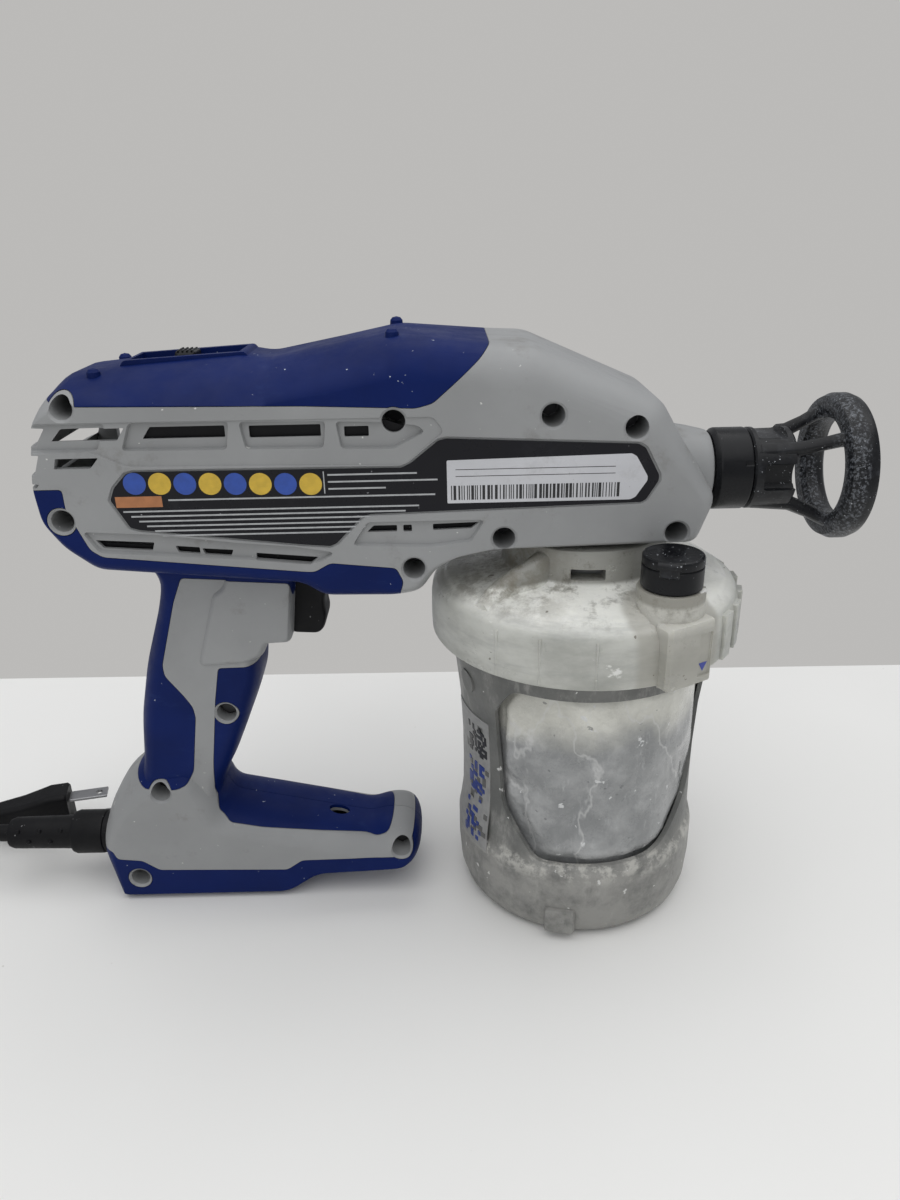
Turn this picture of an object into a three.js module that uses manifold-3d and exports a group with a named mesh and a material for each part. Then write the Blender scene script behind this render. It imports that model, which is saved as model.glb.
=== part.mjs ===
// An airless paint sprayer with a hand grip, a screw-on paint cup, a spray guard and a mains lead.
// Millimetres. +X points out of the nozzle, +Z is up, and the origin is the middle of the cup's foot.
import * as THREE from "three";
import { mergeVertices } from "three/addons/utils/BufferGeometryUtils.js";
import Module from "manifold-3d";

const wasm = await Module();
wasm.setup();

// ---- Driving dimensions ----
const GAP = 0.3; // clearance between touching pieces
const SEAM = 0.15; // each casing half stops this far from the middle plane
const WALL = 3.6; // casing wall
const SLIVER = 0.03; // cuts leave no edges finer than this
const SKIN = 1.6; // soft overmould and top cover thickness
const BODY_HALF = 34; // half width of the barrel
const GRIP_HALF = 18;
const BLOCK_HALF = 20; // block in front of the grip, round the trigger
const BASE_HALF = 22;
const NOZZLE_Z = 192.5; // height of the spray axis
const MOTOR_Z = 214.5; // height of the motor axis
const CORD_Z = 22.5; // height at which the mains lead enters the base
const CORD_R = 4;

const CUP_FLOOR = 2.5;
const COVER_R = 63.2;
const COVER_BOTTOM = 127.5;
const COVER_TOP = 170.6;
const BOSS_R = 24; // round inlet boss under the barrel
const CAP_AT = [25.5, -46]; // valve cap centre
const CAP_R = 11.3;
const CAP_BASE_Z = 162;
const CAP_TURN = THREE.MathUtils.degToRad(-19.5);
const LUG_TURN = THREE.MathUtils.degToRad(-61);

// Outlines in the XZ plane as [x, z, soft]: soft is how far that corner draws in at the side face.
const BODY = [
  [-206.5, 222, 6], [-203, 230, 8], [-193, 238.5, 9], [-176, 241, 9], [-129, 244, 9], [-122, 242.5, 9],
  [-73, 251, 11], [-38, 249, 9], [-16, 242, 9], [22, 225.5, 9], [31, 211, 8], [45, 189, 6], [38, 171.5, 4],
  [-38, 171.3, 2], [-52, 168.5, 2], [-60, 163, 4], [-66, 154, 5], [-76, 152, 6], [-104, 152.5, 6],
  [-112, 158, 6], [-190, 165, 7], [-201, 175, 8], [-208.5, 188, 7], [-209.5, 200, 7],
];
const GRIP = [
  [-184, 172, 3], [-172, 156, 4], [-175, 143, 5], [-184, 117, 6], [-190, 92, 6], [-193, 66, 5],
  [-197, 54, 4], [-159, 44, 4], [-157, 58, 5], [-150, 72, 6], [-141, 96, 6], [-136, 110, 5],
  [-136, 172, 3],
];
const BLOCK = [
  [-155.5, 172, 3], [-158, 118, 3], [-140, 118.5, 3], [-133, 122, 3], [-131, 127.5, 2], [-121, 128, 2],
  [-118, 154, 2], [-118, 172, 2],
];
const BASE = [
  [-218, 24, 4], [-217, 32, 4], [-212, 45, 5], [-205, 56, 6], [-194, 65, 5], [-170, 68, 5],
  [-158, 60, 5], [-152, 46, 6], [-94, 32, 5], [-86, 34, 5], [-76, 33, 5], [-70, 27, 5],
  [-70, 17, 5], [-79, 10, 5], [-118, 9, 4], [-132, 0, 4], [-209.5, 0, 4], [-213, 2, 4],
];
const TOP_COVER = [[-220, 229], [-62, 226], [-36, 251], [-36, 262], [-220, 262]];
const REAR_GRIP = [
  [-230, 199.5], [-194.7, 199.5], [-194.7, 191.6], [-188.7, 176], [-184, 173], [-110, 165.3],
  [-106, 165.3], [-100, 168.5], [-75.5, 166], [-73, 160], [-75, 145], [-103, 145], [-115, 156.5],
  [-164, 158], [-175, 119], [-174.8, 114], [-165.5, 99], [-165, 94], [-169, 67], [-172, 61.5],
  [-193, 60], [-198, 63], [-215, 72], [-215, 165],
];
const FRONT_GRIP = [
  [-151.5, 117], [-155, 102], [-159.5, 72], [-161.5, 53], [-160, 45], [-155, 40], [-142, 37],
  [-89.5, 27.3], [-83.3, 34.7], [-83.3, 42], [-125, 60], [-125, 117],
];
const BASE_RAIL = [
  [-225, 27.5], [-210, 27.5], [-208, 23.3], [-197, 22], [-190, 16.8], [-132, 15.2], [-125, 20],
  [-82, 20.5], [-76, 26], [-71, 40], [-60, 40], [-60, -5], [-225, -5],
];
const SKINS = { rear_grip: REAR_GRIP, front_grip: FRONT_GRIP, base: BASE_RAIL };
const LABEL = [
  [-178, 195], [-169, 205], [-71, 205], [-57, 214.5], [14, 211], [21.5, 198.5], [16, 190],
  [-85, 187.5], [-98, 176], [-172, 184.5],
];
const DATA_PLATE = [[-56, 206.8], [11, 208], [16.8, 199], [12, 191.6], [-56, 190.8]];
const TRIGGER = [
  [-106.5, 150.5], [-104.8, 148], [-107.8, 144], [-108.3, 139], [-107.4, 134.6], [-109.2, 128.6],
  [-111.5, 127], [-121.5, 127.8], [-124, 130], [-124.5, 150], [-121, 153.3], [-110, 153.3],
];
const TRIGGER_SLOT = [[-133, 130], [-133, 156], [-98, 156], [-98, 124], [-128, 124]];

// Case screws as [x, z, where the head seats in y].
const BODY_SEAT = -14;
const GRIP_SEAT = -9;
const SCREWS = [
  [-190, 228.5, BODY_SEAT], [-197, 187.3, BODY_SEAT], [-74, 221.3, BODY_SEAT], [-17.6, 222.2, BODY_SEAT],
  [12.2, 217.3, BODY_SEAT], [-34.9, 176.8, BODY_SEAT], [29.1, 177.5, BODY_SEAT], [-68.7, 165.6, BODY_SEAT],
  [-183.8, 58, GRIP_SEAT], [-151.3, 95.6, GRIP_SEAT], [-199.6, 12.4, GRIP_SEAT], [-80, 25.2, GRIP_SEAT],
];
// Cooling slots as [x0, x1, z0, z1, height, lean at x0, lean at x1].
const SLOTS = [
  [-192, -172, 217, 217, 3.8, 1, 3], [-161.5, -134, 217, 217, 4, 3, 0],
  [-125.4, -100, 216.6, 216.6, 4.2, 0, 0],
  [-91.7, -83, 216.2, 216.2, 3.6, 0, 0], [-196, -183, 207.2, 207.2, 3.6, 1, 3.4],
  [-184, -166, 176.2, 174.8, 3.2, -2.6, 1], [-156.4, -148, 173.8, 173, 2.6, -1, 0],
  [-145.5, -137, 172.7, 172, 2.4, -1, 1], [-127.6, -107.4, 170.6, 168.4, 2.4, 0, 3],
  [-85.7, -74.5, 180.2, 180.2, 2.5, 2.6, 0], [-72.2, -69, 180.1, 180.1, 2.6, 0, 0],
  [-61.2, -47, 180.4, 180.8, 2.4, 0, 3],
];
// The mains lead's middle line, from the strain relief to the plug, lying on the table.
const CORD_ROUTE = [
  [-266, 0, 22.5], [-275, -0.1, 22.2], [-285, -1.6, 19.2], [-296, -5, 13.8], [-308, -10.2, 8.4],
  [-322, -16.5, 5], [-336, -21.5, 4.3], [-350, -23.5, 4.3], [-367, -18.9, 4.3], [-379.4, -6.5, 4.3],
  [-384, 10.5, 4.3], [-379.4, 27.5, 4.3], [-367, 39.9, 4.3], [-350, 44.5, 4.3], [-337, 41.8, 4.3],
  [-325, 35.6, 4.4], [-315, 29.2, 5.2], [-304.5, 24.3, 8.4], [-294, 22.9, 12.3], [-286, 24.5, 13],
];

// ---- Shape helpers ----
function solid(geometry) {
  const bare = geometry.clone();
  bare.deleteAttribute("normal");
  bare.deleteAttribute("uv");
  const merged = mergeVertices(bare, 1e-4);
  return new wasm.Manifold(
    new wasm.Mesh({
      numProp: 3,
      vertProperties: merged.attributes.position.array,
      triVerts: new Uint32Array(merged.index.array),
    }),
  );
}

function geometryOf(shape) {
  const mesh = shape.getMesh();
  const geometry = new THREE.BufferGeometry();
  geometry.setAttribute("position", new THREE.BufferAttribute(mesh.vertProperties.slice(), 3));
  geometry.setIndex(new THREE.BufferAttribute(mesh.triVerts.slice(), 1));
  return geometry.toNonIndexed();
}

// Drops the hair-thin scraps that a cut can leave beside the real body.
const largest = (shape) => shape.decompose().reduce((a, b) => (a.volume() > b.volume() ? a : b));
const join = (shapes) => shapes.reduce((a, b) => a.add(b));
const cut = (shape, cutters) => cutters.reduce((a, b) => a.subtract(b), shape);

function box(x0, x1, y0, y1, z0, z1) {
  const geometry = new THREE.BoxGeometry(x1 - x0, y1 - y0, z1 - z0);
  return solid(geometry.translate((x0 + x1) / 2, (y0 + y1) / 2, (z0 + z1) / 2));
}

// A closed profile of [radius, height] turned about Z.
function turned(profile, segments = 32) {
  const points = profile.map(([r, h]) => new THREE.Vector2(r, h));
  const onAxis = profile[0][0] === 0 && profile.at(-1)[0] === 0;
  if (!onAxis) points.push(points[0].clone());
  if (THREE.ShapeUtils.area(points) < 0) points.reverse();
  return solid(new THREE.LatheGeometry(points, segments).rotateX(Math.PI / 2));
}

const alongX = (shape, z = 0) => shape.rotate([0, 90, 0]).translate([0, 0, z]);

function cylinderX(y, z, radius, x0, x1, segments = 24) {
  const geometry = new THREE.CylinderGeometry(radius, radius, x1 - x0, segments).rotateZ(-Math.PI / 2);
  return solid(geometry.translate((x0 + x1) / 2, y, z));
}

function cylinderY(x, z, radius, y0, y1, segments = 16) {
  return solid(new THREE.CylinderGeometry(radius, radius, y1 - y0, segments).translate(x, (y0 + y1) / 2, z));
}

function cylinderZ(x, y, radius, z0, z1, segments = 32) {
  const geometry = new THREE.CylinderGeometry(radius, radius, z1 - z0, segments).rotateX(Math.PI / 2);
  return solid(geometry.translate(x, y, (z0 + z1) / 2));
}

const counterClockwise = (corners) =>
  THREE.ShapeUtils.area(corners.map(([x, z]) => new THREE.Vector2(x, z))) < 0
    ? [...corners].reverse() : corners;

// Moves every corner of an outline inwards by its own distance, along the line that halves the corner.
function inset(corners, distanceOf) {
  const loop = counterClockwise(corners);
  const inward = loop.map(([x, z], i) => {
    const [nextX, nextZ] = loop[(i + 1) % loop.length];
    const length = Math.hypot(nextX - x, nextZ - z);
    return [(z - nextZ) / length, (nextX - x) / length];
  });
  return loop.map((corner, i) => {
    const before = inward[(i + loop.length - 1) % loop.length];
    const after = inward[i];
    const scale = distanceOf(corner) / (1 + before[0] * after[0] + before[1] * after[1]);
    return [corner[0] + (before[0] + after[0]) * scale, corner[1] + (before[1] + after[1]) * scale];
  });
}

// A solid through rings of the same outline: rings is a list of [y, corners].
function loft(rings) {
  const count = rings[0][1].length;
  const positions = rings.flatMap(([y, corners]) => corners.flatMap(([x, z]) => [x, y, z]));
  const index = [];
  for (let ring = 0; ring + 1 < rings.length; ring++) {
    for (let i = 0; i < count; i++) {
      const [a, b] = [ring * count + i, ring * count + ((i + 1) % count)];
      index.push(a, b, a + count, b, b + count, a + count);
    }
  }
  const flat = rings[0][1].map(([x, z]) => new THREE.Vector2(x, z));
  const last = (rings.length - 1) * count;
  for (const [a, b, c] of THREE.ShapeUtils.triangulateShape(flat, [])) {
    index.push(a, c, b, last + a, last + b, last + c);
  }
  const geometry = new THREE.BufferGeometry();
  geometry.setAttribute("position", new THREE.Float32BufferAttribute(positions, 3));
  geometry.setIndex(index.reverse());
  return solid(geometry);
}

function prism(corners, y0, y1) {
  const loop = counterClockwise(corners);
  return loft([[y0, loop], [y1, loop]]);
}

// A slab whose edges round off over the last crown millimetres, drawn in by wall all round.
function pillow(corners, half, crown, wall, steps) {
  const depth = Math.max(crown - wall, 1);
  const side = [];
  for (let step = 0; step <= steps; step++) {
    const angle = (Math.PI / 2) * (1 - step / steps);
    const drawIn = ([, , soft]) => wall + Math.max(soft - wall, 0) * (1 - Math.cos(angle));
    side.push([half - wall - depth + depth * Math.sin(angle), inset(corners, drawIn)]);
  }
  const far = [...side].reverse();
  return loft([...side.map(([y, loop]) => [-y, loop]), ...far]);
}

// ---- Casing ----
// The outer form, drawn in by wall: the barrel, grip, trigger block, base, nose and inlet boss together.
function casing(wall, steps = 1) {
  const nose = turned([
    [0, 20], [19.8 - wall, 20], [19.6 - wall, 26], [15.4 - wall, 46.8 - wall], [0, 46.8 - wall],
  ], 18);
  const boss = cylinderZ(0, 0, BOSS_R - wall, 158 + wall, 185, 20);
  return join([
    pillow(BODY, BODY_HALF, 12, wall, steps),
    pillow(GRIP, GRIP_HALF, 9, wall, steps),
    pillow(BLOCK, BLOCK_HALF, 4, wall, steps),
    pillow(BASE, BASE_HALF, 9, wall, steps),
    alongX(nose, NOZZLE_Z),
    boss,
  ]);
}

const outer = casing(0);
const underSkin = casing(SKIN);
const skinBed = casing(SKIN + GAP);
const cavity = casing(WALL);
const RIGHT = box(-300, 200, -60, -SEAM, -20, 300);
const LEFT = box(-300, 200, SEAM, 60, -20, 300);

const cordHole = cylinderX(0, CORD_Z, 9.9, -230, -204, 12);
const region = (corners, grow) => prism(inset(corners, () => -grow), -60, 60);
const screwTowers = (radius) => SCREWS.map(([x, z]) => cylinderY(x, z, radius, -60, 60, 6));

function skin(corners) {
  return cut(outer.subtract(underSkin).intersect(region(corners, -0.5)), [...screwTowers(5.8), cordHole]);
}

function skinRecess(corners) {
  return cut(outer.subtract(skinBed).intersect(region(corners, GAP)), screwTowers(5.2));
}

function slot([x0, x1, z0, z1, height, lean0, lean1]) {
  return [[x0, z0], [x1, z1], [x1 + lean1, z1 + height], [x0 + lean0, z0 + height]];
}

function openings() {
  const well = box(-171, -131, -8, 8, 233, 260);
  const outlet = cylinderX(0, NOZZLE_Z, 11.6, 20, 60);
  const inlet = cylinderZ(0, 0, 14.6, 150, 170);
  const triggerMouth = prism(TRIGGER_SLOT, -9, 9);
  const vents = SLOTS.flatMap((each) => [prism(slot(each), -60, -24), prism(slot(each), 24, 60)]);
  return [well, outlet, inlet, cordHole, triggerMouth, ...vents];
}

const housingCuts = [
  ...openings(),
  ...[TOP_COVER, REAR_GRIP, FRONT_GRIP, BASE_RAIL].map(skinRecess),
];

function screwPost([x, z]) {
  return cylinderY(x, z, 5.2, -60, 60, 6).intersect(outer);
}

function housing(halfSpace, screwHoles) {
  const shell = join([outer.subtract(cavity), ...SCREWS.map(screwPost)]).intersect(halfSpace);
  return largest(cut(shell, [...housingCuts, ...screwHoles])).simplify(SLIVER);
}

function rightScrewHole([x, z, seat]) {
  return cylinderY(x, z, 4.4, -60, seat, 6).add(cylinderY(x, z, 2, seat - 1, 1, 6));
}

function leftScrewHole([x, z]) {
  return cylinderY(x, z, 2, -1, 11, 6);
}

function caseScrew([x, z, seat]) {
  const top = seat - GAP;
  const tip = 10;
  const profile = [[0, tip], [1.5, tip], [1.5, top], [3.5, top], [3.5, top - 2.6], [0, top - 2.6]];
  return turned(profile, 6).rotate([-90, 0, 0]).translate([x, 0, z]);
}

const LABEL_BED = 0.7;
const labelBed = prism(inset(LABEL, () => -GAP), -60, -BODY_HALF + LABEL_BED);

function rightHousing() {
  return housing(RIGHT, SCREWS.map(rightScrewHole)).subtract(labelBed);
}

function leftHousing() {
  return housing(LEFT, SCREWS.map(leftScrewHole));
}

function blackLabel() {
  const plate = prism(LABEL, -BODY_HALF, -BODY_HALF + LABEL_BED - GAP);
  return plate.subtract(prism(inset(DATA_PLATE, () => -GAP), -60, 0));
}

const dataPlate = () => prism(DATA_PLATE, -BODY_HALF, -BODY_HALF + LABEL_BED - GAP);

function topCover() {
  return skin(TOP_COVER).subtract(box(-171, -131, -8, 8, 200, 300));
}

// ---- Trigger and switches ----
function triggerSwitch() {
  const body = box(-158, -134.5, -8, 8, 129, 150);
  return body.add(box(-134.6, -127.5, -3, 3, 140, 146));
}

class Helix extends THREE.Curve {
  constructor(radius, length, turns) {
    super();
    Object.assign(this, { radius, length, turns });
  }

  getPoint(t) {
    const angle = t * this.turns * 2 * Math.PI;
    return new THREE.Vector3(t * this.length, this.radius * Math.cos(angle), this.radius * Math.sin(angle));
  }
}

function circle(radius, sides) {
  const shape = new THREE.Shape();
  for (let i = 0; i < sides; i++) {
    const angle = (i / sides) * 2 * Math.PI;
    const [x, y] = [radius * Math.cos(angle), radius * Math.sin(angle)];
    i ? shape.lineTo(x, y) : shape.moveTo(x, y);
  }
  return shape;
}

function triggerSpring() {
  const turns = 3;
  const path = new Helix(2.6, 5, turns);
  const geometry = new THREE.ExtrudeGeometry(circle(0.45, 4), { steps: turns * 7, extrudePath: path });
  return solid(geometry).translate([-133.6, 0, 134.5]);
}

function speedSwitchBody() {
  return box(-173, -129, -10, 10, 234.2, 236.4).add(box(-160, -142, -5, 5, 236, 237));
}

function speedSlide() {
  return box(-159, -145, -6, 6, 237.3, 239).add(box(-156, -148, -5, 5, 238, 243));
}

// ---- Motor, gears and pump ----
const motorRing = (profile, segments) => alongX(turned(profile, segments), MOTOR_Z);

const motorStator = () => motorRing([[12.6, -150], [19, -150], [19, -119], [12.6, -119]], 20);

function motorRearBracket() {
  return motorRing([[3.2, -171], [19, -171], [19, -150.3], [17, -150.3], [17, -168.5], [3.2, -168.5]], 20);
}

function motorFrontBracket() {
  const cup = motorRing([
    [3.2, -108], [19, -108], [19, -118.7], [17.4, -118.7], [17.4, -111], [3.2, -111],
  ], 20);
  const lobe = cylinderX(0, NOZZLE_Z, 8, -111, -108, 16).add(box(-111, -108, -8, 8, NOZZLE_Z, 200));
  return cup.add(lobe).subtract(cylinderX(0, NOZZLE_Z, 3.3, -115, -104));
}

const armatureShaft = () => motorRing([[0, -172.5], [2.5, -172.5], [2.5, -94.5], [0, -94.5]], 12);
const sleeve = (inner, outerR, x0, x1, segments) =>
  motorRing([[inner, x0], [outerR, x0], [outerR, x1], [inner, x1]], segments);
const armatureCore = () => sleeve(2.8, 12, -149, -120, 20);
const commutator = () => sleeve(2.8, 7.5, -166, -157, 16);

function coolingFan() {
  const hub = sleeve(2.8, 7, -117.6, -113, 10);
  const blades = Array.from({ length: 6 }, (_, i) =>
    box(-117.6, -113.4, -0.7, 0.7, 6, 16.5).rotate([i * 60, 0, 0]).translate([0, 0, MOTOR_Z]),
  );
  return join([hub, ...blades]);
}

// A spur gear's outline about X: flat-topped teeth with straight flanks.
function gear(teeth, root, tip, bore, x0, x1, phase) {
  const corners = [];
  const pitch = (2 * Math.PI) / teeth;
  for (let tooth = 0; tooth < teeth; tooth++) {
    for (const [part, radius] of [[-0.3, root], [-0.14, tip], [0.14, tip], [0.3, root]]) {
      const angle = (tooth + part + phase) * pitch;
      corners.push([radius * Math.sin(angle), radius * Math.cos(angle)]);
    }
  }
  const wheel = prism(corners, x0, x1).rotate([0, 0, -90]);
  return bore ? wheel.subtract(cylinderX(0, 0, bore, x0 - 1, x1 + 1, 12)) : wheel;
}

const pinion = () => gear(7, 3.4, 4.2, 2.8, -104, -97, 0).translate([0, 0, MOTOR_Z]);
const driveGear = () => gear(28, 15.8, 17.2, 3.3, -104, -97, 0.5).translate([0, 0, NOZZLE_Z]);

function swashPlate() {
  const shaft = cylinderX(0, NOZZLE_Z, 3, -113, -66, 12);
  const hub = cylinderX(0, NOZZLE_Z, 8, -96.7, -86, 16);
  const disc = cylinderX(0, 0, 16, -1.6, 1.6, 20).rotate([0, 10, 0]).translate([-84.5, 0, NOZZLE_Z]);
  return join([shaft, hub, disc]);
}

const PISTON_CIRCLE = 12;
const PISTON_ANGLES = [90, 210, 330];
const pistonAt = (degrees) => {
  const angle = THREE.MathUtils.degToRad(degrees);
  return [PISTON_CIRCLE * Math.cos(angle), NOZZLE_Z + PISTON_CIRCLE * Math.sin(angle)];
};

function piston(degrees) {
  const [y, z] = pistonAt(degrees);
  return cylinderX(y, z, 2.8, -79, -52, 8).add(cylinderX(y, z, 4.3, -79.8, -77.4, 8));
}

function pumpBlock() {
  const barrel = cylinderX(0, NOZZLE_Z, 17.2, -72, -42, 20);
  const manifold = box(-43, 14, -13, 13, 184, 205);
  const inlet = cylinderZ(0, 0, 14, 152, 190, 20);
  const bores = PISTON_ANGLES.map((degrees) => cylinderX(...pistonAt(degrees), 3.4, -80, -46, 8));
  const shaftBore = cylinderX(0, NOZZLE_Z, 3.4, -80, -62, 12);
  const draw = cylinderZ(0, 0, 5, 150, 192, 10);
  const outlet = cylinderX(0, NOZZLE_Z, 4, -8, 20, 10);
  return cut(join([barrel, manifold, inlet]), [...bores, shaftBore, draw, outlet]);
}

const inletStrainer = () => turned([[3, 137], [9, 137], [10, 151.7], [4, 151.7]], 16);

function outletValveHousing() {
  const profile = [
    [3.4, 14.3], [11, 14.3], [11, 47], [12, 47.4], [12, 60], [9, 60.4], [9, 65.4], [3.4, 65.4],
  ];
  return alongX(turned(profile, 20), NOZZLE_Z);
}

const valveNeedle = () => alongX(turned([[0, 16], [2.6, 16], [2.6, 55], [0.6, 63], [0, 63]], 14), NOZZLE_Z);

// ---- Nozzle: built about the spray axis, with x along it ----
const retainingNut = () =>
  alongX(turned([[12.5, 47.6], [15.2, 47.6], [16.1, 49], [16.1, 62], [12.5, 62]], 20));

function guardArm(degrees) {
  const side = [[66, 10], [70, 15.6], [79, 15.8], [95, 26], [101, 28], [101, 20.5], [95, 20], [78, 10.5]];
  return prism(side, -2.6, 2.6).rotate([90 - degrees, 0, 0]);
}

function tipGuard() {
  const throat = alongX(turned([
    [10, 62.3], [16, 62.3], [16, 79], [11.5, 79], [7, 76], [7, 66], [10, 66],
  ], 20));
  const ring = alongX(
    turned([[19.5, 95.5], [26.5, 94.5], [28.8, 97.5], [28.8, 101], [26.5, 104.5], [20, 104.5]], 20),
  );
  const tipBore = cylinderY(71.5, 0, 5.3, -10, 20, 14);
  return cut(join([throat, ring, ...[42, 118, 300].map(guardArm)]), [tipBore]);
}

function sprayTip() {
  const barrel = cylinderY(71.5, 0, 4.8, -9.6, 17, 14);
  return barrel.add(box(69.2, 73.8, 16.6, 29, -7, 7));
}

// ---- Paint cup ----
function cupSupport() {
  const shell = turned([
    [0, 0], [47.5, 0], [51.5, 4], [53.1, 30], [51.8, 60], [52, 90], [54.8, 125], [58.3, 139],
    [58.3, 143], [55.9, 143], [52.4, 125], [49.6, 90], [49.4, 60], [50.6, 30], [48, CUP_FLOOR],
    [0, CUP_FLOOR],
  ], 24);
  return cut(shell, [windowCutter(-75), windowCutter(105)]);
}

// A wedge through the wall about the given bearing, narrower at its foot.
function windowCutter(bearing) {
  const wedge = (halfAngle, z0, z1) => {
    const rim = [[0, 0]];
    for (let step = 0; step <= 4; step++) {
      const angle = THREE.MathUtils.degToRad(halfAngle * (step / 2 - 1));
      rim.push([90 * Math.cos(angle), 90 * Math.sin(angle)]);
    }
    return prism(rim, z0, z1).rotate([-90, 0, 0]).translate([0, 0, z0 + z1]);
  };
  const hollow = cylinderZ(0, 0, 45, 0, 150, 24);
  return wedge(60, 62, 118).add(wedge(42, 39, 63)).subtract(hollow).rotate([0, 0, bearing]);
}

function cupLiner() {
  return turned([
    [0, 3.2], [45, 3.2], [48, 9], [48.6, 90], [51.4, 125], [54.8, 143.5], [57.8, 143.5],
    [57.8, 144.4], [54.1, 144.4], [50.5, 125], [47.7, 90], [47.1, 9.5], [44.6, 4.2], [0, 4.2],
  ], 20);
}

function cupCover() {
  const dome = turned([
    [59.5, COVER_BOTTOM], [COVER_R, COVER_BOTTOM], [COVER_R, 147], [60, 151.5], [33.2, 158.5],
    [33.2, COVER_TOP], [25.6, COVER_TOP], [25.6, 157], [16.5, 157], [16.5, 154], [34, 154], [58, 147.2],
    [59.5, 146],
  ], 24);
  const boss = cylinderZ(...CAP_AT, 12.6, 150, CAP_BASE_Z - GAP, 16);
  const bossFoot = cylinderZ(...CAP_AT, 12.6, 125, 151, 16).subtract(cylinderZ(0, 0, 60.5, 100, 200, 24));
  const lug = box(60.5, 67, -10, 10, 124.5, 153).rotate([0, 0, THREE.MathUtils.radToDeg(LUG_TURN)]);
  const vent = cylinderZ(...CAP_AT, 5, 140, 170, 12);
  const lockSlot = box(-9.5, 3.7, -40, -20, 159.2, 163.5);
  return cut(join([dome, boss, bossFoot, lug]), [vent, lockSlot]);
}

const coverGasket = () => turned([[51.5, 144.8], [57.5, 144.8], [57.5, 146.5], [51.5, 146.5]], 20);

// The valve cap is built about its own upright axis, standing on z = 0.
function valveCapBase() {
  const body = turned([[4.5, 0], [CAP_R, 0], [CAP_R, 8.5], [4.5, 8.5]], 16);
  return body.subtract(box(-3.5, 3.5, -20, -8.4, 6.5, 20));
}

function valveCapLid() {
  const disc = turned([[0, 8.8], [CAP_R, 8.8], [CAP_R, 11.6], [CAP_R - 1, 12.4], [0, 12.4]], 16);
  const plug = turned([[0, 6.5], [3.8, 6.5], [3.9, 9], [0, 9]], 10);
  return join([disc, plug, box(-3, 3, -13, -8.8, 8.2, 12.2)]);
}

// ---- Mains lead ----
function strainRelief() {
  const profile = [
    [0, -207.5], [11.4, -207.5], [11.4, -210], [9.4, -210], [9.4, -222.4], [11, -222.4], [11, -235.6],
    [8.8, -236.4], [7, -265.5], [0, -265.5],
  ];
  return alongX(turned(profile, 16), CORD_Z);
}

function powerCord() {
  const path = new THREE.CatmullRomCurve3(CORD_ROUTE.map((point) => new THREE.Vector3(...point)));
  return solid(new THREE.ExtrudeGeometry(circle(CORD_R, 8), { steps: 20, extrudePath: path }));
}

// The plug is built with its blades along +x, on edge, centred on its own axis.
function plugBody() {
  const side = [[0, 11.5], [-9, 11.5], [-22, 8], [-35, 6.2], [-35, -6.2], [-22, -8], [-9, -11.5], [0, -11.5]];
  return prism(side, -7.5, 7.5);
}

const plugBlade = (z, halfWidth) => box(GAP, 18.5, -halfWidth, halfWidth, z - 0.75, z + 0.75);

// ---- Circuit board ----
function circuitBoard() {
  const board = box(-172, -117, -24, 24, 180, 181.6);
  const capacitor = cylinderZ(-160, -12, 7, 181, 190, 16);
  const heatSink = box(-140, -124, 4, 20, 181, 188);
  return join([board, capacitor, heatSink]);
}

// ---- Assembly ----
const finish = (color, roughness, metalness = 0) =>
  new THREE.MeshStandardMaterial({ color, roughness, metalness });
const grey = finish(0x8f9294, 0.55);
const blue = finish(0x1c2d6e, 0.5);
const black = finish(0x141416, 0.35);
const rubber = finish(0x1b1b1d, 0.7);
const milky = finish(0xdcdcd4, 0.4);
const cupGrey = finish(0x9a9c9a, 0.6);
const clear = finish(0xd5d8d6, 0.3);
const steel = finish(0xb4b6b8, 0.35, 0.9);
const brass = finish(0xb08d4a, 0.4, 0.9);
const copper = finish(0xa8623c, 0.45, 0.8);
const nylon = finish(0xe6e2d4, 0.5);
const boardGreen = finish(0x1f5a34, 0.5);
const labelBlack = finish(0x101114, 0.35);
const labelWhite = finish(0xe4e6e8, 0.4);

const sprayer = new THREE.Group();

function piece(parent, name, shape, material) {
  const mesh = new THREE.Mesh(geometryOf(shape), material);
  mesh.name = name;
  parent.add(mesh);
}

function addCasing() {
  piece(sprayer, "right_housing", rightHousing(), grey);
  piece(sprayer, "left_housing", leftHousing(), grey);
  piece(sprayer, "top_cover", topCover(), blue);
  for (const [side, halfSpace] of [["right", RIGHT], ["left", LEFT]]) {
    for (const [place, corners] of Object.entries(SKINS)) {
      const half = largest(skin(corners).intersect(halfSpace)).simplify(SLIVER);
      piece(sprayer, `${side}_${place}_overmould`, half, blue);
    }
  }
  SCREWS.forEach((screw, i) => piece(sprayer, `case_screw_${i + 1}`, caseScrew(screw), steel));
  piece(sprayer, "warning_label", blackLabel(), labelBlack);
  piece(sprayer, "data_plate", dataPlate(), labelWhite);
}

function addControls() {
  piece(sprayer, "trigger", prism(TRIGGER, -8.5, 8.5), black);
  piece(sprayer, "trigger_spring", triggerSpring(), steel);
  piece(sprayer, "trigger_switch", triggerSwitch(), black);
  piece(sprayer, "speed_switch_body", speedSwitchBody(), black);
  piece(sprayer, "speed_slide", speedSlide(), black);
  piece(sprayer, "circuit_board", circuitBoard(), boardGreen);
}

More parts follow.
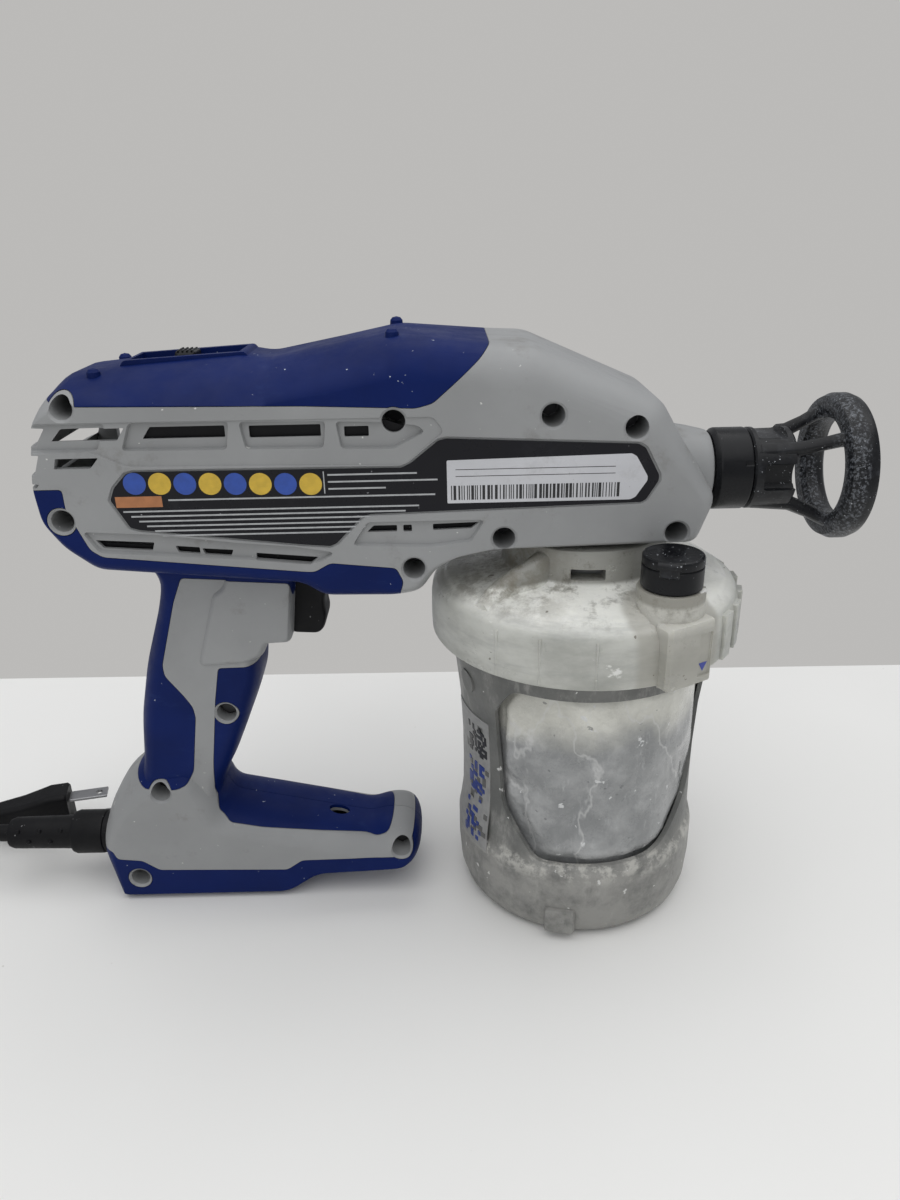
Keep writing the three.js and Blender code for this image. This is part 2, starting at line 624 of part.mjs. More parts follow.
function addDrive() {
  piece(sprayer, "motor_stator", motorStator(), steel);
  piece(sprayer, "motor_rear_bracket", motorRearBracket(), nylon);
  piece(sprayer, "motor_front_bracket", motorFrontBracket(), nylon);
  piece(sprayer, "armature_shaft", armatureShaft(), steel);
  piece(sprayer, "armature_core", armatureCore(), copper);
  piece(sprayer, "commutator", commutator(), copper);
  piece(sprayer, "cooling_fan", coolingFan(), nylon);
  piece(sprayer, "motor_pinion", pinion(), brass);
  piece(sprayer, "drive_gear", driveGear(), nylon);
  piece(sprayer, "swash_plate", swashPlate(), steel);
  piece(sprayer, "pump_block", pumpBlock(), steel);
  PISTON_ANGLES.forEach((degrees, i) => piece(sprayer, `pump_piston_${i + 1}`, piston(degrees), steel));
  piece(sprayer, "inlet_strainer", inletStrainer(), nylon);
  piece(sprayer, "outlet_valve_housing", outletValveHousing(), steel);
  piece(sprayer, "valve_needle", valveNeedle(), steel);
}

function addNozzle() {
  const nozzle = new THREE.Group();
  nozzle.position.z = NOZZLE_Z;
  sprayer.add(nozzle);
  piece(nozzle, "retaining_nut", retainingNut(), black);
  piece(nozzle, "tip_guard", tipGuard(), black);
  piece(nozzle, "spray_tip", sprayTip(), blue);
}

function addCup() {
  piece(sprayer, "cup_cover", cupCover(), milky);
  piece(sprayer, "cover_gasket", coverGasket(), rubber);
  piece(sprayer, "cup_support", cupSupport(), cupGrey);
  piece(sprayer, "cup_liner", cupLiner(), clear);
  const cap = new THREE.Group();
  cap.position.set(...CAP_AT, CAP_BASE_Z);
  cap.rotation.z = CAP_TURN;
  sprayer.add(cap);
  piece(cap, "valve_cap_base", valveCapBase(), black);
  piece(cap, "valve_cap_lid", valveCapLid(), black);
}

function addMainsLead() {
  piece(sprayer, "strain_relief", strainRelief(), rubber);
  piece(sprayer, "power_cord", powerCord(), rubber);
  const plug = new THREE.Group();
  plug.position.set(-251, 32, 13);
  plug.rotation.z = THREE.MathUtils.degToRad(12);
  sprayer.add(plug);
  piece(plug, "plug_body", plugBody(), rubber);
  piece(plug, "plug_blade_wide", plugBlade(6.35, 3.9), brass);
  piece(plug, "plug_blade_narrow", plugBlade(-6.35, 3.1), brass);
}

addCasing();
addControls();
addDrive();
addNozzle();
addCup();
addMainsLead();

export default sprayer;
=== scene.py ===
"""An airless paint sprayer with its paint cup. Shapes are in mm and scaled to metres as they are made."""
import math
import random

import bpy
from mathutils import Matrix, Vector, noise


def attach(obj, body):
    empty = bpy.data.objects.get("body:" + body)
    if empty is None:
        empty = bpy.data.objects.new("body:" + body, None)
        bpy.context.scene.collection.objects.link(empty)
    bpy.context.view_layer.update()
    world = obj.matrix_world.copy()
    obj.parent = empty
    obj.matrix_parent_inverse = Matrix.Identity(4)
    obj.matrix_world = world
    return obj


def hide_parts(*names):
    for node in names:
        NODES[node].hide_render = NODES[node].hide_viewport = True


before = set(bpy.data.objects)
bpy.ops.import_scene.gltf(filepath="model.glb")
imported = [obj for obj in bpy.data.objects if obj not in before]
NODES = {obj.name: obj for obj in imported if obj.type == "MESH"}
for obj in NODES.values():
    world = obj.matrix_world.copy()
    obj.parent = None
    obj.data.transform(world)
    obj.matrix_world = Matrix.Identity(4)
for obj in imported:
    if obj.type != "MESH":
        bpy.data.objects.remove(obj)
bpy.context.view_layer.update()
MM = 0.001

# ---- Driving dimensions ----
NOZZLE_Z = 192.5
CORD_Z = 22.5
CORD_R = 4.0
CORD_HOLE_R = 9.9
BODY_HALF = 34.0
BLOCK_HALF = 19.4
GRIP_HALF = 18
BASE_HALF = 22
SKIN = 1.6
WALL = 3.2
SEAM = 0.12
TOWER_R = 5.2
TIP_X = 71.5
WAIST = 50.8
BOSS_R = 12.6
CAP_AT = (25.5, -46.0)
CAP_Z = 162
CAP_TURN = -19.5
LUG_TURN = -61
# A cut right through the body reaches this far to each side.
THROUGH = 60

# Outlines in the XZ plane as (x, z, soft): soft is how far that corner draws in at the side face.
# The barrel's corners add how round that fall is: 0 is a wide bevel and 1 a tight round shoulder.
BODY = [
    (-203.4, 222.6, 2.5, 1), (-201.5, 229, 6, 0.6), (-193, 237.4, 9, 0.4), (-176, 239.1, 10, 0.1),
    (-129, 242.4, 14, 0), (-121, 240.8, 13, 0), (-73, 249.6, 14, 0.8), (-38, 245.9, 14, 1),
    (-24.5, 245.3, 14, 1),
    (23, 224.4, 13, 1), (31, 211, 9, 1), (45, 189, 6, 1), (38, 171.5, 4, 1), (-38, 171.3, 2, 1),
    (-52, 168.5, 2, 1), (-60, 163, 4, 1), (-66, 154, 5, 1), (-76, 152, 6, 1), (-104, 152.5, 6, 1),
    (-112, 158, 6, 1), (-189, 165.2, 6, 1), (-200.5, 175, 5, 1), (-206.4, 186, 3, 1), (-207.2, 200, 2.5, 1),
]
GRIP = [
    (-184, 172, 3), (-172, 156, 5), (-175, 143, 7), (-184, 117, 8), (-190, 92, 8), (-193, 66, 7),
    (-197, 54, 4), (-161, 42, 4), (-159.3, 57, 7), (-151.5, 71, 8), (-141, 96, 8), (-136, 110, 6),
    (-136, 172, 3),
]
BLOCK = [
    (-141, 168, 2), (-146.5, 154, 3), (-151, 150.8, 3), (-160.6, 119.6, 3), (-158, 117.6, 3),
    (-140, 118.5, 3), (-133, 122, 3), (-131, 127.5, 2), (-121, 128, 2),
    (-118, 154, 2), (-118, 172, 2),
]
BASE = [
    (-217.4, 24, 8), (-216.6, 32, 8), (-211.8, 45, 9), (-205, 56.5, 11), (-194, 65.5, 11), (-170, 68, 8),
    (-160.5, 56, 11), (-156.5, 45.6, 12), (-94, 31.2, 12), (-86.5, 33.6, 11), (-76.5, 32.8, 10),
    (-71, 26.5, 7),
    (-71.4, 17, 5), (-79, 10.8, 4), (-118, 9.8, 3), (-132, 0.2, 3), (-209, 0.2, 3), (-212, 2, 5),
]
TOP_COVER = [
    (-224, 230.6), (-198, 230.4), (-184.6, 229.1), (-141, 228.3), (-106, 227.7), (-66, 226), (-60, 227.6),
    (-43.3, 242), (-39, 246.8), (-36.6, 252), (-36.6, 265), (-224, 265),
]
REAR_GRIP = [
    (-230, 199.3), (-194.9, 199.3), (-194.9, 191.6), (-188.7, 176), (-184.5, 173), (-110, 165.4),
    (-106, 165.2),
    (-100, 168.6), (-75.5, 166), (-73, 160.5), (-74.2, 156.5), (-75, 145), (-118.5, 145), (-119, 155),
    (-162, 157.8), (-166.5, 147), (-175, 119), (-174.8, 114), (-168, 104), (-165.2, 99), (-164.6, 94),
    (-169, 67), (-172, 61.6), (-177, 59.9), (-191, 59.6), (-196, 62), (-215, 72), (-215, 165),
]
FRONT_GRIP = [
    (-152, 117), (-155, 102), (-159.5, 72), (-161.5, 56), (-160.5, 45.5), (-156, 40), (-142, 36.9),
    (-91.5, 28.6), (-86, 30.4), (-82.4, 35.4), (-81.4, 42), (-125, 60), (-125, 117.4),
]
BASE_RAIL = [
    (-225, 27.6), (-209.8, 27.6), (-208.3, 23.1), (-197.2, 21.9), (-190, 16.6), (-132, 15.2), (-125, 20.2),
    (-82, 20.9), (-75, 27.5), (-69.6, 41), (-60, 41), (-60, -5), (-225, -5),
]
LABEL = [
    (-178, 195), (-176, 199.5), (-171, 204.6), (-168, 205.3), (-72, 204.7), (-68.5, 206.3), (-58.5, 214.2),
    (-55.5, 214.9), (13, 211.5), (15.6, 210), (21, 200), (21, 197.8), (16.8, 190.8), (15, 189.9),
    (-84, 187.6), (-87, 186.8), (-97, 176.6), (-99.5, 175.5), (-110, 176.4), (-169, 183.4), (-172.4, 184.4),
]
DATA_PLATE = [
    (-55.6, 207), (10.8, 208.1), (12.6, 207), (16.9, 199.6), (16.9, 198), (12.9, 191.9), (11, 191),
    (-55.6, 191),
]
TRIGGER = [
    (-106.5, 151.5), (-104.8, 148.5), (-107.2, 144), (-107.6, 139.5), (-106.8, 134.8), (-108.4, 129.4),
    (-111, 127), (-121.5, 127.6), (-123.8, 129.6), (-124.3, 150), (-121, 153.2), (-109.5, 153.2),
]
TRIGGER_SLOT = [(-133, 130), (-133, 156), (-98, 156), (-98, 124), (-128, 124)]
SCREWS = [
    (-190, 228.5), (-197, 187.3), (-74, 221.3), (-17.6, 222.2), (12.2, 217.3), (-34.9, 176.8), (29.1, 177.5),
    (-68.7, 165.6), (-183.8, 58), (-151.3, 95.6), (-199.6, 12.4), (-80, 25.2),
]
# Cooling slots as (x0, x1, z0, z1, height, lean at x0, lean at x1).
SLOTS = [
    (-196, -172, 216.6, 216.8, 4.4, 4, 3), (-163.5, -134, 216.8, 216.8, 4.2, 3, 0),
    (-125.4, -100, 216.4, 216.4, 4.3, 0, 0), (-91.7, -83, 216, 216, 3.7, 0, 0),
    (-196, -183, 207, 207, 3.8, 1, 3.4),
    (-184, -166, 176.2, 174.8, 3.2, -2.6, 1), (-156.4, -148.4, 173.9, 173.1, 2.6, -1, 0),
    (-146.6, -137, 172.9, 172, 2.4, -1, 1), (-127.6, -107.4, 170.6, 168.4, 2.4, 0, 3),
    (-85.7, -74.5, 180.2, 180.2, 2.5, 2.6, 0), (-72.2, -69, 180.1, 180.1, 2.6, 0, 0),
    (-61.2, -47, 180.4, 180.8, 2.4, 0, 3),
]
# Shallow moulded pockets round the slots, as (corners, depth).
POCKETS = [
    ([(-206, 222.4), (-176, 222.4), (-180, 213.6), (-206, 213.6)], 1.6),
    ([(-167, 222.4), (-132.6, 222.2), (-134, 213.1), (-170.5, 213.4)], 1.6),
    ([(-128, 222), (-98.4, 221.6), (-99.6, 212.8), (-126.6, 213)], 1.6),
    ([(-94, 221.4), (-80.5, 221), (-66, 219.5), (-63.6, 217.6), (-74.5, 212), (-92.6, 212.4)], 1.6),
    ([(-189.5, 182.6), (-163, 180.9), (-135, 177.2), (-112, 175), (-99, 172.6), (-104.6, 169.6),
      (-185, 175.4)], 0.9),
    ([(-90.4, 176), (-85, 184), (-42.8, 184), (-47.5, 176.6), (-62, 174.8)], 0.9),
]
STEP = [(-182, 213), (-170, 207.4), (-70.5, 205.8), (-56.5, 217.5), (-60, 222.6), (-208, 223.2), (-208, 213)]
FINS = [
    [(-216, 222.2), (-197.8, 221.2), (-202, 214.9), (-216, 214.7)],
    [(-216, 212.5), (-200.6, 212.1), (-203.4, 204.6), (-216, 204.4)],
    [(-216, 202.4), (-202.4, 201.6), (-203.6, 200.2), (-216, 200)],
]
CORD_ROUTE = [
    (-266, 0, 22.5), (-275, -0.1, 22.2), (-285, -1.6, 19.2), (-296, -5, 13.8), (-308, -10.2, 8.4),
    (-322, -16.5, 5), (-336, -21.5, 4.3), (-350, -23.5, 4.3), (-367, -18.9, 4.3), (-379.4, -6.5, 4.3),
    (-384, 10.5, 4.3), (-379.4, 27.5, 4.3), (-367, 39.9, 4.3), (-350, 44.5, 4.3), (-337, 41.8, 4.3),
    (-325, 35.6, 4.4), (-315, 29.2, 5.2), (-304.5, 24.3, 8.4), (-294, 22.9, 12.3), (-286, 24.5, 13),
]

def new_object(name, data):
    item = bpy.data.objects.new(name, data)
    bpy.context.scene.collection.objects.link(item)
    return item


def shift(x, y, z):
    return Matrix.Translation((x, y, z))


def spin(degrees, axis="Z"):
    return Matrix.Rotation(math.radians(degrees), 4, axis)


# ---- Camera, lights and floor ----
def add_camera():
    data = bpy.data.cameras.new("camera")
    data.lens = 27.03
    data.sensor_width = 36
    camera = new_object("camera", data)
    camera.matrix_world = shift(-0.0555, -0.349, 0.2906) @ spin(66.35, "X") @ spin(-1.3)
    bpy.context.scene.camera = camera


def add_light(name, place, aim, size, power):
    data = bpy.data.lights.new(name, "AREA")
    data.size = size
    data.energy = power
    light = new_object(name, data)
    light.location = place
    light.rotation_euler = (Vector(aim) - Vector(place)).to_track_quat("-Z", "Y").to_euler()


def add_world():
    world = bpy.data.worlds.new("studio")
    bpy.context.scene.world = world
    world.use_nodes = True
    tree = world.node_tree
    seen = tree.nodes["Background"]
    seen.inputs["Color"].default_value = (0.5, 0.493, 0.482, 1)
    around = tree.nodes.new("ShaderNodeBackground")
    around.inputs["Color"].default_value = (0.62, 0.63, 0.65, 1)
    around.inputs["Strength"].default_value = 0.62
    path = tree.nodes.new("ShaderNodeLightPath")
    mix = tree.nodes.new("ShaderNodeMixShader")
    tree.links.new(path.outputs["Is Camera Ray"], mix.inputs["Fac"])
    tree.links.new(around.outputs[0], mix.inputs[1])
    tree.links.new(seen.outputs[0], mix.inputs[2])
    tree.links.new(mix.outputs[0], tree.nodes["World Output"].inputs["Surface"])


# ---- Shape helpers ----
def add_mesh(name, points, faces):
    mesh = bpy.data.meshes.new(name)
    mesh.from_pydata([Vector(p) * MM for p in points], [], faces)
    mesh.validate()
    return new_object(name, mesh)


def area(corners):
    pairs = zip(corners, corners[1:] + corners[:1])
    return sum(a[0] * b[1] - b[0] * a[1] for a, b in pairs) / 2


def counter_clockwise(corners):
    return corners[::-1] if area(corners) < 0 else list(corners)


def inset(corners, distances):
    """Moves each corner inwards by its own distance, along the line that halves the corner."""
    loop = [Vector(c[:2]) for c in corners]
    inward = []
    for a, b in zip(loop, loop[1:] + loop[:1]):
        along = (b - a).normalized()
        inward.append(Vector((-along.y, along.x)))
    out = []
    for i, corner in enumerate(loop):
        both = inward[i - 1] + inward[i]
        out.append(corner + both * distances[i] / (1 + inward[i - 1].dot(inward[i])))
    return out


def soften(corners, reach, count=4):
    """Rounds each corner with a short curve that starts reach mm before it."""
    loop = [Vector(c[:2]) for c in corners]
    out = []
    for i, corner in enumerate(loop):
        before, after = loop[i - 1] - corner, loop[(i + 1) % len(loop)] - corner
        start = corner + before.normalized() * min(reach, before.length * 0.45)
        end = corner + after.normalized() * min(reach, after.length * 0.45)
        for step in range(count + 1):
            t = step / count
            out.append(start * (1 - t) ** 2 + corner * 2 * t * (1 - t) + end * t * t)
    return out


def loft(name, rings):
    """A solid through rings of 3-D points."""
    count = len(rings[0])
    points = [p for ring in rings for p in ring]
    faces = []
    for lower in range(0, len(points) - count, count):
        upper = lower + count
        for i in range(count):
            j = (i + 1) % count
            faces.append((lower + i, lower + j, upper + j, upper + i))
    faces.append(tuple(range(count))[::-1])
    faces.append(tuple(range(len(points) - count, len(points))))
    return outward(add_mesh(name, points, faces))


def outward(piece):
    """Turns every face outwards."""
    mesh = piece.data
    volume = 0
    for face in mesh.polygons:
        first = mesh.vertices[face.vertices[0]].co
        for a, b in zip(face.vertices[1:-1], face.vertices[2:]):
            volume += first.dot(mesh.vertices[a].co.cross(mesh.vertices[b].co))
    if volume < 0:
        mesh.flip_normals()
    return piece


def at_y(corners, y):
    return [(c[0], y, c[1]) for c in corners]


def prism(name, corners, y0, y1, reach=0, flare=0):
    """An outline pushed from y0 to y1; flare widens it towards y1."""
    loop = counter_clockwise(corners)
    if reach:
        loop = soften(loop, reach)
    far = inset(loop, [-flare] * len(loop)) if flare else loop
    return loft(name, [at_y(loop, y0), at_y(far, y1)])


def pillow(name, corners, half, crown, wall, reach, steps):
    """A slab that rounds off over the last crown mm towards y = half and -half."""
    loop = counter_clockwise(corners)
    depth = max(crown - wall, 1)
    side = []
    for step in range(steps + 1):
        angle = math.pi / 2 * (1 - step / steps)
        draw = [wall + max(c[2] - wall, 0) * (1 - math.cos(angle)) for c in loop]
        side.append((half - wall - depth + depth * math.sin(angle), soften(inset(loop, draw), reach)))
    return slab(name, side)


def slab(name, side):
    """A solid that is the same on both sides of y = 0, from (y, outline) pairs, side face first."""
    rings = [at_y(ring, -y) for y, ring in side] + [at_y(ring, y) for y, ring in side[::-1]]
    return loft(name, rings)


def barrel(name, wall):
    """The sprayer's body: a wide bevel along the rear of its top and tight round shoulders elsewhere."""
    loop = counter_clockwise(BODY)
    side = []
    for reached in (34, 33.8, 33.2, 32.2, 30.6, 28.5, 26, 23.5, 21, 18, 14, 10):
        bevel = (max(reached - 10, 0) / 24) ** 1.6
        shoulder = 1 - math.sqrt(1 - (max(reached - 20, 0) / 14) ** 2)
        draw = [wall + max(c[2] - wall, 0) * (bevel + (shoulder - bevel) * c[3]) for c in loop]
        side.append((reached - wall, soften(inset(loop, draw), 3.5)))
    return slab(name, side)


def lathe(name, profile, segments, matrix=Matrix()):
    """A closed profile of (radius, height) turned about Z, then placed by matrix."""
    points, faces, rows = [], [], []
    for radius, height in profile:
        if radius < 1e-6:
            rows.append([len(points)] * segments)
            points.append((0, 0, height))
            continue
        rows.append(list(range(len(points), len(points) + segments)))
        for s in range(segments):
            turn = 2 * math.pi * s / segments
            points.append((radius * math.cos(turn), radius * math.sin(turn), height))
    on_axis = profile[0][0] < 1e-6 and profile[-1][0] < 1e-6
    pairs = list(zip(rows, rows[1:]))
    if not on_axis:
        pairs.append((rows[-1], rows[0]))
    for low, high in pairs:
        for s in range(segments):
            t = (s + 1) % segments
            corners = [low[s], low[t], high[t], high[s]]
            face = [c for k, c in enumerate(corners) if c not in corners[:k]]
            if len(face) > 2:
                faces.append(face)
    return outward(add_mesh(name, [matrix @ Vector(p) for p in points], faces))


def along_x(z):
    return shift(0, 0, z) @ spin(90, "Y")


def along_y(x, z):
    return shift(x, 0, z) @ spin(-90, "X")


def rod(name, radius, low, high, matrix, segments=32, end_radius=None):
    tip = radius if end_radius is None else end_radius
    return lathe(name, [(0, low), (radius, low), (tip, high), (0, high)], segments, matrix)


def bar(x0, x1, z0, z1):
    return [(x0, z0), (x1, z0), (x1, z1), (x0, z1)]


def block(name, x0, x1, y0, y1, z0, z1, matrix=Matrix(), edge=0):
    corners = bar(x0, x1, z0, z1)
    if edge:
        rings = []
        for y, draw in ((y0, edge), (y0 + edge, 0), (y1 - edge, 0), (y1, edge)):
            rings.append(at_y(soften(inset(corners, [draw] * 4), edge, 2), y))
    else:
        rings = [at_y(corners, y0), at_y(corners, y1)]
    return loft(name, [[matrix @ Vector(p) for p in ring] for ring in rings])


def bake(piece):
    """Applies the modifiers."""
    bpy.context.view_layer.update()
    graph = bpy.context.evaluated_depsgraph_get()
    mesh = bpy.data.meshes.new_from_object(piece.evaluated_get(graph))
    piece.modifiers.clear()
    piece.data = mesh
    return piece


def combine(piece, others, operation, keep=False):
    for other in others:
        modifier = piece.modifiers.new("shape", "BOOLEAN")
        modifier.operation = operation
        modifier.solver = "MANIFOLD"
        modifier.object = other
    bake(piece)
    if not keep:
        for other in others:
            bpy.data.objects.remove(other)
    return piece


def join(piece, others):
    return combine(piece, others, "UNION")


def cut(piece, others, keep=False):
    return combine(piece, others, "DIFFERENCE", keep)


def clip(piece, others, keep=False):
    return combine(piece, others, "INTERSECT", keep)


def copy_of(piece, name):
    return new_object(name, piece.data.copy())


def merge(name, pieces):
    """Puts separate shells into one mesh, without joining their solids."""
    points, faces = [], []
    for piece in pieces:
        start = len(points)
        points += [v.co / MM for v in piece.data.vertices]
        faces += [[start + i for i in face.vertices] for face in piece.data.polygons]
        bpy.data.objects.remove(piece)
    return add_mesh(name, points, faces)


def smooth(piece, angle=32):
    for face in piece.data.polygons:
        face.use_smooth = True
    piece.data.set_sharp_from_angle(angle=math.radians(angle))
    modifier = piece.modifiers.new("normals", "WEIGHTED_NORMAL")
    modifier.keep_sharp = True
    return piece


def show(piece, body, look, *nodes, angle=32):
    """Shades a finished piece, gives it its look, and has it ride on a body in place of its CAD nodes."""
    smooth(piece, angle)
    piece.data.materials.clear()
    piece.data.materials.append(look)
    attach(piece, body)
    if nodes:
        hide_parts(*nodes)
    return piece


# ---- Materials ----
class Look:
    """A Principled material and short ways to add nodes to it."""

    def __init__(self, name, roughness, specular=0.5):
        self.material = bpy.data.materials.new(name)
        self.material.use_nodes = True
        self.tree = self.material.node_tree
        self.shader = self.tree.nodes["Principled BSDF"]
        self.shader.inputs["Roughness"].default_value = roughness
        self.shader.inputs["Specular IOR Level"].default_value = specular
        self.place = self.add("ShaderNodeTexCoord").outputs["Object"]

    def add(self, kind, **settings):
        node = self.tree.nodes.new(kind)
        for key, value in settings.items():
            setattr(node, key, value)
        return node

    def link(self, start, end):
        self.tree.links.new(start, end)

    def noise(self, scale, detail=4.0, rough=0.55, stretch=None):
        node = self.add("ShaderNodeTexNoise")
        for socket, value in (("Scale", scale), ("Detail", detail), ("Roughness", rough)):
            node.inputs[socket].default_value = value
        source = self.place
        if stretch:
            mapping = self.add("ShaderNodeMapping")
            mapping.inputs["Scale"].default_value = stretch
            self.link(self.place, mapping.inputs["Vector"])
            source = mapping.outputs[0]
        self.link(source, node.inputs["Vector"])
        return node.outputs["Fac"]

    def ramp(self, source, low, high, start=0.0, end=1.0):
        node = self.add("ShaderNodeMapRange", interpolation_type="SMOOTHSTEP")
        for socket, value in (("From Min", low), ("From Max", high), ("To Min", start), ("To Max", end)):
            node.inputs[socket].default_value = value
        self.link(source, node.inputs["Value"])
        return node.outputs[0]

    def patches(self, low, high, *noise):
        """Noise as patches: none below low and full above high."""
        return self.ramp(self.noise(*noise), low, high)

    def axis(self, which):
        node = self.add("ShaderNodeSeparateXYZ")
        self.link(self.place, node.inputs[0])
        return node.outputs[which]

    def math(self, operation, a, b):
        node = self.add("ShaderNodeMath", operation=operation)
        for socket, value in zip(node.inputs, (a, b)):
            if isinstance(value, (int, float)):
                socket.default_value = value
            else:
                self.link(value, socket)
        return node.outputs[0]

    def times(self, a, b):
        return self.math("MULTIPLY", a, b)

    def distance(self, spot):
        """How far a point lies from an upright line through (x, y)."""
        node = self.add("ShaderNodeVectorMath", operation="DISTANCE")
        flat = self.add("ShaderNodeCombineXYZ")
        self.link(self.axis("X"), flat.inputs[0])
        self.link(self.axis("Y"), flat.inputs[1])
        self.link(flat.outputs[0], node.inputs[0])
        node.inputs[1].default_value = (*spot, 0)
        return node.outputs["Value"]

    def blend(self, factor, a, b):
        node = self.add("ShaderNodeMix", data_type="RGBA")
        self.link(factor, node.inputs["Factor"])
        for socket, value in ((node.inputs[6], a), (node.inputs[7], b)):
            if isinstance(value, tuple):
                socket.default_value = (*value, 1)
            else:
                self.link(value, socket)
        return node.outputs[2]

    def over(self, colour, amount, share=1):
        """Lays a colour over the shade so far by amount, at most by this share."""
        if share != 1:
            amount = self.times(amount, share)
        self.shade = self.blend(amount, self.shade, colour)

    def colour(self):
        """Gives the finished shade to the shader."""
        self.link(self.shade, self.shader.inputs["Base Color"])

    def roughness(self, scale, full, low, high):
        """Uneven gloss between two roughnesses."""
        self.link(self.ramp(self.noise(scale, 6, 0.7), 0.3, full, low, high), self.shader.inputs["Roughness"])

    def bump(self, source, strength, distance):
        node = self.add("ShaderNodeBump")
        node.inputs["Strength"].default_value = strength
        node.inputs["Distance"].default_value = distance
        self.link(source, node.inputs["Height"])
        self.link(node.outputs[0], self.shader.inputs["Normal"])


def plastic(name, base, dirt, specks, roughness=0.5, bump=0.12):
    """Moulded plastic: uneven tone, smudges of dirt, small paint specks and a fine texture."""
    look = Look(name, roughness, specular=0.2 if base[0] < 0.05 else 0.4)
    tone = look.patches(0.3, 0.7, 22, 5)
    look.shade = look.blend(tone, tuple(c * 0.93 for c in base), tuple(min(c * 1.06, 1) for c in base))
    smudge = look.times(look.patches(0.56, 0.74, 48, 7, 0.7), 0.7)
    look.over(dirt, smudge)
    spots = look.patches(0.735, 0.755, 420, 3, 0.5)
    look.over(specks, spots)
    look.colour()
    look.roughness(60, 0.75, roughness - 0.08, roughness + 0.14)
    look.bump(look.noise(2600, 2), bump, 0.0003)
    return look.material


def speckled_black():
    """Glossy black plastic, frosted with fine dried spray on the face behind the guard's ring."""
    look = Look("speckled_black", 0.3, specular=0.25)
    along = look.axis("X")
    tone = look.patches(0.3, 0.7, 60, 5)
    look.shade = look.blend(tone, (0.006, 0.0065, 0.008), (0.011, 0.0115, 0.013))
    near = look.times(look.ramp(along, 0.1005, 0.0985), look.ramp(along, 0.088, 0.094))
    frost = look.times(look.patches(0.47, 0.62, 900, 5, 0.7), near)
    look.over((0.22, 0.235, 0.26), frost, 0.55)
    dust = look.times(look.patches(0.5, 0.72, 130, 7, 0.7), 0.3)
    look.over((0.07, 0.075, 0.085), dust)
    specks = look.patches(0.70, 0.715, 1100, 3, 0.5)
    look.over((0.5, 0.52, 0.55), specks)
    look.colour()
    look.roughness(60, 0.75, 0.22, 0.5)
    look.bump(look.math("ADD", look.times(frost, 1.5), look.noise(500, 5, 0.6)), 0.2, 0.0005)
    return look.material


def worn_blue(name, base):
    """Soft navy overmould with long pale scuffs and white flecks."""
    look = Look(name, 0.5, specular=0.12)
    tone = look.patches(0.32, 0.7, 26, 5)
    look.shade = look.blend(tone, tuple(c * 0.88 for c in base), tuple(c * 1.15 for c in base))
    haze = look.times(look.patches(0.55, 0.78, 70, 8, 0.72, (1, 1, 3.2)), 0.22)
    look.over((0.03, 0.06, 0.19), haze)
    flecks = look.patches(0.745, 0.76, 520, 3, 0.5)
    look.over((0.55, 0.6, 0.68), flecks)
    look.colour()
    look.roughness(80, 0.75, 0.4, 0.6)
    look.bump(look.noise(3000, 2), 0.12, 0.0003)
    return look.material


def make_looks():
    plastics = {
        "grey": ("grey_plastic", (0.292, 0.297, 0.299), (0.185, 0.18, 0.17), (0.62, 0.62, 0.6)),
        "black": ("black_plastic",
                  (0.007, 0.0075, 0.009), (0.02, 0.02, 0.021), (0.35, 0.36, 0.38), 0.3, 0.06),
        "rubber": ("black_rubber", (0.003, 0.003, 0.004), (0.01, 0.01, 0.01), (0.15, 0.15, 0.15), 0.5),
        "label_black": ("label_black",
                  (0.008, 0.008, 0.011), (0.02, 0.02, 0.024), (0.3, 0.3, 0.32), 0.3, 0.02),
        "label_white": ("label_white", (0.56, 0.565, 0.59), (0.45, 0.45, 0.46), (0.4, 0.4, 0.4), 0.3, 0.02),
        "steel": ("steel", (0.30, 0.30, 0.31), (0.12, 0.12, 0.12), (0.4, 0.4, 0.4), 0.38),
        "dark_steel": ("dark_steel", (0.05, 0.05, 0.052), (0.03, 0.03, 0.03), (0.1, 0.1, 0.1), 0.4),
        "brass": ("brass", (0.52, 0.42, 0.26), (0.25, 0.2, 0.12), (0.6, 0.55, 0.45), 0.3, 0.04),
        "nylon": ("nylon", (0.58, 0.56, 0.5), (0.4, 0.38, 0.33), (0.7, 0.7, 0.65), 0.45),
        "copper": ("copper", (0.35, 0.15, 0.07), (0.15, 0.07, 0.04), (0.5, 0.3, 0.2), 0.4),
        "board": ("board_green", (0.02, 0.12, 0.05), (0.02, 0.07, 0.03), (0.4, 0.4, 0.3), 0.4),
    }
    looks = {key: plastic(*values) for key, values in plastics.items()}
    looks.update({
        "blue": worn_blue("blue_rubber", (0.0024, 0.0115, 0.088)),
        "speckled": speckled_black(),
        "lid": milky_lid(),
        "cup": stained_cup(),
        "film": paint_film(),
    })
    for name in ("steel", "dark_steel", "brass", "copper"):
        looks[name].node_tree.nodes["Principled BSDF"].inputs["Metallic"].default_value = 0.85
    return looks


